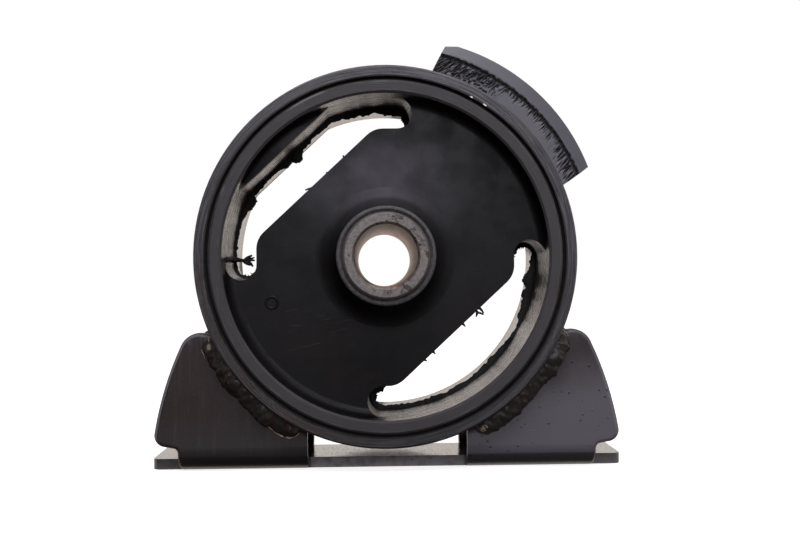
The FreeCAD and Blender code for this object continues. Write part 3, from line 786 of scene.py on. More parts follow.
@dataclass(frozen=True)
class WeldCoat:
    """Coated weld metal: dark, lumpy, with rust and bare spots at its ends."""

    coat: Colour = (0.017, 0.0138, 0.0130)
    rust: Colour = (0.078, 0.040, 0.026)
    bare: Colour = (0.34, 0.29, 0.22)
    worn: Colour = (0.058, 0.050, 0.047)
    bare_spots: tuple[tuple[float, float], ...] = ((-37.9, -18.9), (20.4, -37.2))

    def material(self) -> bpy.types.Material:
        """Makes the weld's coat.

        Returns:
            The material.
        """
        g = Graph("weld_coat")
        across, _, up = g.xyz
        grain = g.noise(1.1, 5.0, 0.65)
        rusty = g.rise(g.noise(0.45, 5.0, 0.7), 0.52, 0.68)
        colour = g.blend(grain * 0.5, self.coat, self.worn)
        colour = g.blend(rusty * 0.6, colour, self.rust)
        for spot_across, spot_up in self.bare_spots:
            aside = (across - spot_across) * 1.7
            above = up - spot_up
            near = g.rise((aside * aside + above * above) ** 0.5 + grain * 1.4, 1.75, 1.25)
            colour = g.blend(near, colour, self.bare)
        return g.finish(g.surface(colour, 0.34 + grain * 0.25, grain * 0.10))


@dataclass(frozen=True)
class ToeHighlightSteel:
    """Pale metal colour for the threads that stand in for highlights along the weld toes."""

    highlight_pale: Colour = (0.50, 0.40, 0.32)
    rusty: Colour = (0.20, 0.10, 0.06)

    def material(self) -> bpy.types.Material:
        """Makes the bare metal.

        Returns:
            The material.
        """
        g = Graph("bare_steel")
        grain = g.noise(1.2, 4.0, 0.6)
        colour = g.blend(g.rise(grain, 0.40, 0.65), self.highlight_pale, self.rusty)
        return g.finish(g.surface(colour, 0.40 + grain * 0.2, grain * 0.05, 0.3))


# ---------------------------------------------------------------- mesh helpers


def polar(radius: float, degrees: float, along: float) -> Vector:
    """The point at a radius and an angle round the bore, at a place along it."""
    turn = math.radians(degrees)
    return Vector((radius * math.cos(turn), along, radius * math.sin(turn)))


def angle_round(point: Vector) -> float:
    """A point's angle round the bore in degrees."""
    return math.degrees(math.atan2(point.z, point.x))


def ease(value: float, low: float, high: float) -> float:
    """0 at low and 1 at high, smooth between."""
    share = min(max((value - low) / (high - low), 0.0), 1.0)
    return share * share * (3 - 2 * share)


def rough_at(point: Vector, size: float, seed: float, octaves: int = 3) -> float:
    """A repeatable noise of about -1 to 1 with features of a size in metres."""
    shifted = point / size + Vector((seed, seed * 1.7, -seed))
    return noise.fractal(shifted, 0.9, 2.1, octaves)


def make_piece(name: str, bm: bmesh.types.BMesh, finish: bpy.types.Material,
               sharp: float | None = None, replaces: tuple[str, ...] = ()) -> bpy.types.Object:
    """Turns a finished bmesh into a piece of the object.

    Args:
        name: The piece's name.
        bm: Its shape, which is freed.
        finish: Its material.
        sharp: The angle in degrees above which an edge stays sharp, or None.
        replaces: The CAD nodes that it stands for.

    Returns:
        The new object, riding on the root body.
    """
    bmesh.ops.recalc_face_normals(bm, faces=bm.faces)
    data = bpy.data.meshes.new(name)
    bm.to_mesh(data)
    bm.free()
    data.polygons.foreach_set("use_smooth", [True] * len(data.polygons))
    if sharp is not None:
        data.set_sharp_from_angle(angle=math.radians(sharp))
    data.materials.append(finish)
    piece = bpy.data.objects.new(name, data)
    bpy.context.scene.collection.objects.link(piece)
    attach(piece, ROOT)
    if replaces:
        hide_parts(*replaces)
    log.info("piece %s: %d faces", name, len(data.polygons))
    return piece


def dress_node(node: str, finish: bpy.types.Material) -> None:
    """Gives a CAD node its finish.

    Args:
        node: The node's name.
        finish: Its material.
    """
    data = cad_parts[node].data
    data.materials.clear()
    data.materials.append(finish)
    log.info("node %s: %s", node, finish.name)


def closed_line(bm: bmesh.types.BMesh, points: Iterable[Vector]
                ) -> tuple[list[bmesh.types.BMVert], list[bmesh.types.BMEdge]]:
    """Adds a closed line of vertices and edges.

    Args:
        bm: The mesh to add to.
        points: Where its vertices go.

    Returns:
        The vertices and the edges.
    """
    verts = [bm.verts.new(point) for point in points]
    edges = [bm.edges.new(pair) for pair in zip(verts, verts[1:])]
    edges.append(bm.edges.new((verts[-1], verts[0])))
    return verts, edges


def swept(bm: bmesh.types.BMesh, sections: list[list[Vector]]) -> None:
    """Adds a closed solid through a row of closed sections, with its two ends capped.

    Args:
        bm: The mesh to add to.
        sections: The sections in order, each with the same count of points.
    """
    around = len(sections[0])
    made = bmesh.ops.create_grid(bm, x_segments=around, y_segments=len(sections) - 1,
                                 size=1.0)["verts"]
    for index, vert in enumerate(made):
        row, column = divmod(index, around + 1)
        vert.co = sections[row][column % around]
    bmesh.ops.remove_doubles(bm, verts=made, dist=1e-7)
    bmesh.ops.holes_fill(bm, edges=[edge for edge in bm.edges if edge.is_boundary])


def thread(bm: bmesh.types.BMesh, run: list[tuple[Vector, float]], sides: int = 7) -> None:
    """Adds one round thread through points that each have a radius.

    Args:
        bm: The mesh to add to.
        run: The points in order, each with a radius in metres.
        sides: How many sides its section has.
    """
    sections = []
    for index, (place, radius) in enumerate(run):
        ahead = run[min(index + 1, len(run) - 1)][0] - run[max(index - 1, 0)][0]
        turn = ahead.to_track_quat("Z", "Y")
        sections.append([place + turn @ Vector((
            radius * math.cos(2 * math.pi * side / sides),
            radius * math.sin(2 * math.pi * side / sides), 0)) for side in range(sides)])
    swept(bm, sections)


# ---------------------------------------------------------------- weld beads


@dataclass
class WeldBead:
    """A lumpy fillet weld in the corner between an ear and the ring."""

    side: Side
    face: Face
    seed: float
    leg: float = 3.6 * MM
    sunk: float = 0.5 * MM
    top_angle: float = 23.6
    bottom_angle: float = 63.0
    end_length: float = 2.2 * MM
    ripple: float = 1.7 * MM
    ripple_share: float = 0.022
    lumps: tuple[tuple[float, float, float], ...] = ((5.0 * MM, 0.22, 0.0), (1.5 * MM, 0.11, 5.0))
    steps: int = 150
    section: int = 14

    @property
    def node(self) -> str:
        """The name of the CAD bead that this one stands for."""
        return "weld_%s_%s" % (self.face.name.lower(), self.side.name.lower())

    def build(self, finish: bpy.types.Material) -> bpy.types.Object:
        """Makes the bead and puts it in the place of its CAD node.

        Args:
            finish: The piece's material.

        Returns:
            The new piece.
        """
        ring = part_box("outer_tube")[1].x
        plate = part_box("mounting_bracket")[1].y
        start = math.radians(self.top_angle)
        span = math.radians(self.bottom_angle - self.top_angle)
        sign = self.face.value
        bm = bmesh.new()
        points = []
        for index in range(self.section):
            turn = math.pi / 2 * index / (self.section - 1)
            out = self.leg * math.sin(turn)
            along = self.leg * math.cos(turn)
            points.append((ring + out, plate + along))
        points.append((ring + self.leg, plate - self.sunk))
        points.append((ring - self.sunk, plate - self.sunk))
        points.append((ring - self.sunk, plate + self.leg))
        corners = [Vector((r * math.cos(start), sign * y, -r * math.sin(start)))
                   for r, y in points]
        verts, edges = closed_line(bm, corners)
        bmesh.ops.spin(bm, geom=verts + edges, cent=(0, 0, 0), axis=(0, 1, 0), dvec=(0, 0, 0),
                       angle=span, steps=self.steps, use_merge=False, use_duplicate=False)
        rims = [edge for edge in bm.edges if edge.is_boundary]
        bmesh.ops.holes_fill(bm, edges=rims)
        self._shape(bm, ring, plate)
        if self.side is Side.LEFT:
            bmesh.ops.scale(bm, vec=(-1, 1, 1), verts=bm.verts)
        return make_piece("bead_" + self.node[5:], bm, finish,
                          replaces=(self.node,))

    def _shape(self, bm: bmesh.types.BMesh, ring: float, plate: float) -> None:
        """Tapers the ends and raises the ripples and lumps.

        Args:
            bm: The mesh to shape.
            ring: The ring's outer radius in metres.
            plate: The distance of the ear's face from the middle plane, in metres.
        """
        sign = self.face.value
        length = math.radians(self.bottom_angle - self.top_angle) * ring
        for vert in bm.verts:
            point = vert.co
            radius = math.hypot(point.x, point.z)
            turn = -angle_round(point)
            out = radius - ring
            along = point.y * sign - plate
            run = math.radians(turn - self.top_angle) * ring
            from_end = min(run, length - run)
            swell = math.sqrt(min(max(from_end / self.end_length, 0.0), 1.0)) * 0.72 + 0.28
            lump = sum(rough_at(point, size, self.seed + shift) * share
                       for size, share, shift in self.lumps)
            beat = (run + max(out, 0) * 0.35) / self.ripple + lump * 4
            lump += self.ripple_share * math.sin(2 * math.pi * beat)
            scale = swell * (1 + lump)
            out = out * scale if out > 0 else out
            along = along * scale if along > 0 else along
            radius = ring + out
            angle = math.radians(turn)
            vert.co = Vector((radius * math.cos(angle), sign * (plate + along),
                              -radius * math.sin(angle)))


@dataclass
class ToeHighlightLines:
    """Pale threads and a curl, painted highlights where the front welds meet the ears.

    Each line is a radius and its points, in millimetres.
    """

    lines: tuple[tuple[float, tuple[tuple[float, float, float], ...]], ...] = (
        (0.17, ((-26.2, -15.2, -35.7), (-24.5, -15.1, -37.3), (-22.9, -15.1, -38.3),
                (-21.2, -15.1, -38.8), (-19.9, -15.2, -38.5), (-18.9, -15.6, -37.7))),
        (0.34, ((-20.6, -17.4, -36.3), (-20.0, -17.2, -36.9), (-19.6, -16.4, -37.6))),
        (0.24, ((-38.7, -16.2, -16.4), (-37.9, -16.6, -17.0), (-38.0, -17.0, -17.8))),
        (0.12, ((-39.9, -15.1, -19.5), (-39.4, -15.1, -20.5), (-39.1, -15.1, -21.5))),
        (0.15, ((38.2, -15.8, -16.2), (39.2, -15.5, -17.2), (39.5, -15.3, -18.5),
                (39.2, -15.3, -19.8), (38.3, -15.4, -21.0))),
        (0.17, ((20.2, -18.2, -36.4), (20.8, -18.3, -36.0), (21.3, -18.4, -36.6),
                (21.0, -18.2, -37.3), (20.3, -18.0, -37.3))))

    def build(self, finish: bpy.types.Material) -> bpy.types.Object:
        """Makes the lines as one piece.

        Args:
            finish: The piece's material.

        Returns:
            The new piece.
        """
        bm = bmesh.new()
        for radius, points in self.lines:
            last = len(points) - 1
            thread(bm, [(Vector(point) * MM, radius * MM * (0.6 if index in (0, last) else 1.0))
                        for index, point in enumerate(points)])
        return make_piece("weld_toe_lines", bm, finish)


# ---------------------------------------------------------------- torn flash


@dataclass(frozen=True)
class Window:
    """One window's outline at the mould's parting plane, in the frame of the left one.

    A place on the outline is a number: 0 to 1 along the top shoulder, to 2 round the top
    end, to 3 down the outer wall, to 4 round the side end and to 5 along the side shoulder.
    """

    top_reach: float
    side_reach: float
    has_stop: bool
    turned: float
    lining: float = 34.8 * MM
    width_at_end: float = 6.8 * MM
    draft_run: float = 0.4 * MM
    shoulder_length: float = 0.33 * MM
    side_shoulder_length: float = 2.0 * MM
    stop_angle: float = 132.8
    stop_distance: float = 32.1 * MM

    @property
    def outer(self) -> float:
        """The outer wall's radius."""
        return self.lining - self.draft_run

    @property
    def shoulder(self) -> float:
        """How far the web's shoulders lie from the bore."""
        return self.lining - self.width_at_end + self.draft_run

    def end_radius(self, reach: float) -> float:
        """The radius of the full round at an end that reaches so far."""
        over = self.outer ** 2 - reach ** 2 - self.shoulder ** 2
        return over / (2 * (self.shoulder + self.outer))

    def outline(self, step: float) -> list[tuple[float, Vector, Vector]]:
        """Points round the outline's shoulders, ends and outer wall.

        Args:
            step: The spacing of the points.

        Returns:
            For each point its place, the point and the unit vector into the window.
        """
        top_radius = self.end_radius(self.top_reach)
        side_radius = self.end_radius(self.side_reach)
        upper = Vector((self.top_reach, 0, self.shoulder + top_radius))
        lower = Vector((-self.shoulder - side_radius, 0, -self.side_reach))
        top = angle_round(upper)
        foot = angle_round(lower) % 360
        path = self._line(0, Vector((-self.shoulder_length, 0, self.shoulder)),
                          Vector((self.top_reach, 0, self.shoulder)), step)
        path += self._arc(1, upper, top_radius, -90.0, top, step)
        path += self._wall(top, foot, step)
        path += self._arc(3, lower, side_radius, foot, 360.0, step)
        path += self._line(4, Vector((-self.shoulder, 0, -self.side_reach)),
                           Vector((-self.shoulder, 0, self.side_shoulder_length)), step)
        return path

    def _wall(self, top: float, foot: float, step: float) -> list[tuple[float, Vector, Vector]]:
        """Points down the outer wall, over the bump stop's flat if there is one.

        Args:
            top: The angle where the wall starts, in degrees.
            foot: The angle where it ends.
            step: The spacing of the points.

        Returns:
            For each point its place, the point and the unit vector into the window.
        """
        path = self._arc(2, Vector(), self.outer, top, foot, step)
        if not self.has_stop:
            return path
        flat = polar(1.0, self.stop_angle, 0.0)
        moved = []
        for place, point, inward in path:
            proud = point.dot(flat) - self.stop_distance
            moved.append((place, point - flat * proud, -flat) if proud > 0
                         else (place, point, inward))
        return moved

    @staticmethod
    def _line(start: int, first: Vector, last: Vector, step: float
              ) -> list[tuple[float, Vector, Vector]]:
        """Points along a straight shoulder, facing away from the bore.

        Args:
            start: The place of its first point.
            first: Its first point.
            last: Its last point.
            step: The spacing of the points.

        Returns:
            For each point its place, the point and the unit vector into the window.
        """
        along = last - first
        count = max(2, round(along.length / step))
        inward = Vector((along.z, 0, -along.x)).normalized()
        if inward.dot(first) < 0:
            inward = -inward
        return [(start + index / count, first + along * index / count, inward)
                for index in range(count)]

    @staticmethod
    def _arc(start: int, centre: Vector, radius: float, first: float, last: float, step: float
             ) -> list[tuple[float, Vector, Vector]]:
        """Points on an arc, facing its centre.

        Args:
            start: The place of its first point.
            centre: The arc's centre.
            radius: Its radius.
            first: Its first angle in degrees.
            last: Its last angle.
            step: The spacing of the points.

        Returns:
            For each point its place, the point and the unit vector into the window.
        """
        count = max(2, round(math.radians(last - first) * radius / step))
        path = []
        for index in range(count):
            outward = polar(1.0, first + (last - first) * index / count, 0.0)
            path.append((start + index / count, centre + outward * radius, -outward))
        return path


@dataclass
class FlashFin:
    """The torn skin of flash that stands on one window's walls, mid-way through.

    The heights are in millimetres at places on the window's outline.
    """

    name: str
    window: Window
    seed: int
    heights: tuple[tuple[float, float], ...]
    lumps: tuple[tuple[float, float], ...]
    step: float = 0.15 * MM
    sunk: float = 0.5 * MM
    half_root: float = 0.28 * MM
    half_tip: float = 0.11 * MM
    levels: tuple[float, ...] = (0.0, 0.4, 0.75, 1.0)
    spike_count: int = 44
    tears: tuple[tuple[float, float, int], ...] = ((0.34, 3.2 * MM, 1), (0.20, 0.8 * MM, 2))
    least_height: float = 0.05

    def build(self, finish: bpy.types.Material) -> bpy.types.Object:
        """Makes the fin along its window's outline.

        Args:
            finish: The piece's material.

        Returns:
            The new piece.
        """
        draw = random.Random(self.seed)
        path = self.window.outline(self.step)
        spikes = [(draw.uniform(0, 5), draw.uniform(0.008, 0.03), draw.uniform(0.15, 0.50))
                  for _ in range(self.spike_count)]
        sections = []
        for place, point, inward in path:
            tall = self._height(place, point, spikes)
            lump = max(math.exp(-((place - middle) / 0.02) ** 2) * size
                       for middle, size in self.lumps) * MM
            curl = rough_at(point, 5 * MM, self.seed) * 0.5 * MM
            section = []
            for level in self.levels + self.levels[::-1]:
                front = len(section) < len(self.levels)
                half = self.half_root + (self.half_tip - self.half_root) * level + lump * 0.5
                wave = rough_at(point + inward * level * tall, 0.7 * MM, self.seed + 3) * 0.07 * MM
                rise = level * tall - (self.sunk if level == 0 else 0)
                aside = curl * level ** 2 + wave + (-half if front else half)
                section.append(point + inward * rise + Vector((0, aside, 0)))
            sections.append(section)
        bm = bmesh.new()
        swept(bm, sections)
        turn = Matrix.Rotation(math.radians(-self.window.turned), 4, "Y")
        bmesh.ops.transform(bm, matrix=turn, verts=bm.verts)
        return make_piece(self.name, bm, finish)

    def _height(self, place: float, point: Vector,
                spikes: list[tuple[float, float, float]]) -> float:
        """How far the fin reaches into the window at one place, in metres.

        Args:
            place: The place on the window's outline.
            point: The point at that place.
            spikes: The place, half width and height of each spike.

        Returns:
            The height.
        """
        height = self.heights[-1][1]
        for (first, low), (last, high) in zip(self.heights, self.heights[1:]):
            if place < last:
                height = low + (high - low) * ease(place, first, last)
                break
        torn = 1.0
        for share, size, shift in self.tears:
            torn += share * rough_at(point, size, self.seed + shift)
        spike = max(tall * max(0.0, 1 - abs(place - middle) / wide)
                    for middle, wide, tall in spikes)
        lump = max(math.exp(-((place - middle) / 0.018) ** 2) * size
                   for middle, size in self.lumps)
        if height < self.least_height:
            return -0.2 * MM
        return max(0.1, height * torn + spike * min(1.0, height) + lump) * MM


@dataclass
class LooseThreads:
    """The strand torn across the left window, its forked end, and whiskers on the edges.

    Places are across and up from the bore in millimetres.
    """

    seed: int = 11
    forks: tuple[tuple[float, float, float], ...] = (
        (-30.3, 1.0, 0.34), (-29.9, 0.5, 0.26), (-29.7, -0.2, 0.30), (-30.6, -1.2, 0.52),
        (-30.2, -1.6, 0.34))
    tufts: int = 22
    whiskers: tuple[tuple[float, float, float, float], ...] = (
        (-9.0, 22.0, 130.0, 0.3), (-15.9, 15.3, 178.0, 1.5), (-15.5, 15.6, 120.0, 0.3),
        (-21.8, 9.6, 128.0, 0.3), (-23.2, 8.2, 128.0, 0.4), (-12.6, 18.5, 140.0, 0.2),
        (20.9, -11.6, -30.0, 0.9), (20.4, -12.2, 5.0, 1.0), (20.0, -12.6, -70.0, 0.6),
        (17.0, -14.9, -40.0, 0.5), (10.4, -20.8, -35.0, 0.5), (8.2, -22.6, -60.0, 0.5))
    whisker_depth: float = 12.6

    def build(self, finish: bpy.types.Material) -> bpy.types.Object:
        """Makes all the threads as one piece.

        Args:
            finish: The piece's material.

        Returns:
            The new piece.
        """
        draw = random.Random(self.seed)
        crotch = Vector((-32.2, -0.3, -0.2)) * MM
        runs = [self._bridge(crotch)]
        runs += [self._bent(draw, crotch, Vector((across, draw.uniform(-1, 1), up)) * MM,
                            radius * MM) for across, up, radius in self.forks]
        for _ in range(self.tufts):
            along_end = draw.random()
            root = Vector((-28.5 - 2.6 * along_end ** 2, draw.uniform(-0.6, 0.6),
                           0.8 - 4.9 * along_end ** 0.6)) * MM
            runs.append(self._loose(draw, root, draw.uniform(120, 215),
                                    draw.uniform(0.3, 0.9) * MM, draw.uniform(0.15, 0.28) * MM))
        for across, up, degrees, length in self.whiskers:
            root = Vector((across, -self.whisker_depth, up)) * MM - polar(0.8 * MM, degrees, 0)
            runs.append(self._loose(draw, root, degrees, (length + 0.8) * MM, 0.42 * MM))
        bm = bmesh.new()
        for run in runs:
            thread(bm, run)
        return make_piece("torn_threads", bm, finish)

    @staticmethod
    def _bridge(crotch: Vector) -> list[tuple[Vector, float]]:
        """The strand from the window's outer wall to where it forks.

        Args:
            crotch: Where the strand forks.

        Returns:
            Its points, each with a radius.
        """
        first = Vector((-34.9, -13.0, -0.15)) * MM
        wall = Vector((-34.2, -1.6, 0.05)) * MM
        run = []
        for index in range(12):
            share = index / 11
            run.append((first.lerp(wall, share), (0.60 + 0.12 * math.sin(share * 11)) * MM))
        for index in range(1, 9):
            share = index / 8
            run.append((wall.lerp(crotch, share), (0.66 - 0.26 * ease(share, 0, 0.8)) * MM))
        return run

    @staticmethod
    def _bent(draw: random.Random, first: Vector, last: Vector, radius: float
              ) -> list[tuple[Vector, float]]:
        """A thread that bows between two points and thickens before it tapers.

        Args:
            draw: The source of random numbers.
            first: The root.
            last: The tip.
            radius: The thread's radius in metres.

        Returns:
            Its points, each with a radius.
        """
        across = (last - first).cross(Vector((0, 1, 0))) * draw.uniform(-0.25, 0.25)
        run = []
        for index in range(10):
            share = index / 9
            bow = across * math.sin(share * math.pi)
            size = radius * (0.85 + 0.4 * math.sin(share * math.pi)) * (1.05 - 0.35 * share)
            run.append((first.lerp(last, share) + bow, size))
        return run

    @staticmethod
    def _loose(draw: random.Random, root: Vector, degrees: float, length: float,
               radius: float) -> list[tuple[Vector, float]]:
        """A curling thread from a root, with a ragged thickness.

        Args:
            draw: The source of random numbers.
            root: Where it starts.
            degrees: The way that it heads at its root.
            length: Its length in metres.
            radius: Its radius at the root.

        Returns:
            Its points, each with a radius.
        """
        heading = math.radians(degrees)
        curl = draw.uniform(-0.8, 0.8)
        run = []
        place = root.copy()
        for index in range(8):
            run.append((place.copy(), radius * draw.uniform(0.7, 1.2) * (1 - index / 11)))
            heading += curl / 7
            step = Vector((math.cos(heading), draw.uniform(-0.25, 0.25), math.sin(heading)))
            place = place + step * length / 7
        return run


@dataclass
class GateMark:
    """The small raised ring that the mould's gate has left on the front of the web."""

    place: Vector = Vector((-24.8, -13.25, -9.6)) * MM
    ring_radius: float = 1.25 * MM
    wire_radius: float = 0.32 * MM

    def build(self, finish: bpy.types.Material) -> bpy.types.Object:
        """Makes the ring, sunk half-way into the web.

        Args:
            finish: The piece's material.

        Returns:
            The new piece.
        """
        bm = bmesh.new()
        made = bmesh.ops.create_circle(bm, segments=12, radius=self.wire_radius)["verts"]
        bmesh.ops.translate(bm, vec=(self.ring_radius, 0, 0), verts=made)
        edges = list(bm.edges)
        bmesh.ops.spin(bm, geom=made + edges, cent=(0, 0, 0), axis=(0, 1, 0), dvec=(0, 0, 0),
                       angle=2 * math.pi, steps=36, use_merge=True, use_duplicate=False)
        bmesh.ops.translate(bm, vec=self.place, verts=bm.verts)
        return make_piece("gate_mark", bm, finish)


# ---------------------------------------------------------------- the stop block


@dataclass
class StopBlock:
    """The rubber block on the ring, with its moulded band and torn faces."""

    middle: float = 48.4
    foot_half: float = 27.2
    top_half: float = 25.0
    height: float = 7.6 * MM
    crown: float = 0.5 * MM
    bevel: float = 2.4 * MM
    bevel_depth: float = 0.9 * MM
    tear_depth: float = 0.75 * MM
    steps: int = 300
    rows: int = 30
    seed: float = 4.0

    def build(self, finish: bpy.types.Material) -> bpy.types.Object:
        """Makes the block in the place of its CAD node.

        Args:
            finish: The piece's material.

        Returns:
            The new piece.
        """
        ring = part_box("outer_tube")[1].x
        half_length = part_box("stopper_block")[1].y
        bm = bmesh.new()
        torn = bm.verts.layers.float.new("torn")
        outline = self._section(ring, half_length)
        corners = [Vector((radius, along, 0)) for radius, along in outline]
        verts, edges = closed_line(bm, corners)
        bmesh.ops.rotate(bm, verts=verts, cent=(0, 0, 0),
                         matrix=Matrix.Rotation(math.radians(self.foot_half), 3, "Y"))
        bmesh.ops.spin(bm, geom=verts + edges, cent=(0, 0, 0), axis=(0, 1, 0), dvec=(0, 0, 0),
                       angle=math.radians(-2 * self.foot_half), steps=self.steps,
                       use_merge=False, use_duplicate=False)
        bmesh.ops.holes_fill(bm, edges=[edge for edge in bm.edges if edge.is_boundary])
        self._shape(bm, torn, ring, half_length)
        return make_piece("snubber_block", bm, finish, sharp=50.0,
                          replaces=("stopper_block",))

    def _section(self, ring: float, half_length: float) -> list[tuple[float, float]]:
        """The block's section as (radius, along) points, finest on its two faces.

        Args:
            ring: The ring's outer radius in metres.
            half_length: Half of the block's length in metres.

        Returns:
            The points in order round the section.
        """
        top = ring + self.height
        edge = top - self.bevel
        foot = ring - 0.2 * MM
        face = [(foot + (edge - foot) * index / self.rows, -half_length)
                for index in range(self.rows + 1)]
        slope = [(edge + self.bevel * index / 6, self.bevel_depth * index / 6 - half_length)
                 for index in range(1, 7)]
        near = face + slope
        flat = half_length - self.bevel_depth
        crest = [(top, flat * (index / 10 - 1)) for index in range(1, 10)]
        crest += [(top, flat * index / 10) for index in range(10)]
        return near + crest + [(radius, -along) for radius, along in reversed(near)]

    def _shape(self, bm: bmesh.types.BMesh, torn: bmesh.types.BMLayerItem, ring: float,
               half_length: float) -> None:
        """Leans the ends, crowns the top, tears the faces, turns the block and trims its corner.

        Args:
            bm: The mesh to shape.
            torn: The layer that keeps how deep each point is torn.
            ring: The ring's outer radius in metres.
            half_length: Half of the block's length in metres.
        """
        top = ring + self.height
        chord = top * math.sin(math.radians(self.top_half))
        rise = top * (1 - math.cos(math.radians(self.top_half))) + self.crown
        bow = (chord ** 2 + rise ** 2) / (2 * rise)
        offset = top + self.crown - bow
        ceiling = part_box("stopper_block")[1].z
        for vert in bm.verts:
            point = vert.co
            radius = math.hypot(point.x, point.z)
            share = angle_round(point) / self.foot_half
            level = (radius - ring) / self.height
            half = self.foot_half + (self.top_half - self.foot_half) * level
            angle = math.radians(share * half)
            crest = offset * math.cos(angle) + math.sqrt(
                bow ** 2 - (offset * math.sin(angle)) ** 2)
            radius = ring + level * (crest - ring)
            along = point.y
            if abs(abs(along) - half_length) < 1e-6:
                tear = self._tear(share, radius, ring, along)
                vert[torn] = tear
                along -= math.copysign(tear * self.tear_depth, along)
            turn = math.radians(self.middle) + angle
            up = min(radius * math.sin(turn), ceiling)
            vert.co = Vector((radius * math.cos(turn), along, up))

    def _tear(self, share: float, radius: float, ring: float, along: float) -> float:
        """How deep a face is torn at one point, from 0 to 1.

        Args:
            share: The place along the block, from -1 to 1.
            radius: The point's radius in metres.
            ring: The ring's outer radius in metres.
            along: The point's place along the bore.

        Returns:
            The depth of the tear.
        """
        out = (radius - ring) / MM
        seed = self.seed + (0 if along < 0 else 9)
        around = share * self.foot_half * math.radians(1) * radius / MM
        ragged = noise.noise(Vector((around * 1.1, 0.0, seed + 6))) * 0.35
        under = 5.15 + ragged - out
        band = ease(under, -0.05, 0.30)
        reach = 1.5 + 2.6 * abs(share + 0.1) ** 1.2 + 1.1 * max(0.0, share)
        streaks = noise.noise(Vector((around * 3.4 + out * 0.5, out * 0.45, seed)))
        length = reach * (1 + 0.7 * noise.noise(Vector((around * 2.6, 0.0, seed + 2))))
        hairs = ease(streaks, -0.15, 0.35) * (1 - ease(under, length * 0.45, length * 1.25))
        fringe = (1 - ease(under, 0.5, 1.2)) * (0.45 + 0.55 * ease(streaks, -0.5, 0.1))
        grain = noise.fractal(Vector((around * 2.2, out * 2.2, seed + 3)), 0.8, 2.2, 3)
        mottle = ease(grain, 0.05, 0.55) * ease(share, 0.12, 0.45) * 0.8
        return min(1.0, band * max(hairs, fringe, mottle))


# ---------------------------------------------------------------- studio


@dataclass(frozen=True)
class Lamp:
    """One square soft lamp that faces a target, in metres and watts."""

    name: str
    place: tuple[float, float, float]
    target: tuple[float, float, float]
    size: float
    power: float
    colour: Colour

    def hang(self) -> None:
        """Puts the lamp in the scene."""
        data = bpy.data.lights.new(self.name, "AREA")
        data.shape = "SQUARE"
        data.size = self.size
        data.energy = self.power
        data.color = self.colour
        lamp = bpy.data.objects.new(self.name, data)
        bpy.context.scene.collection.objects.link(lamp)
        towards = Vector(self.target) - Vector(self.place)
        lamp.rotation_euler = towards.to_track_quat("-Z", "Y").to_euler()
        lamp.location = self.place


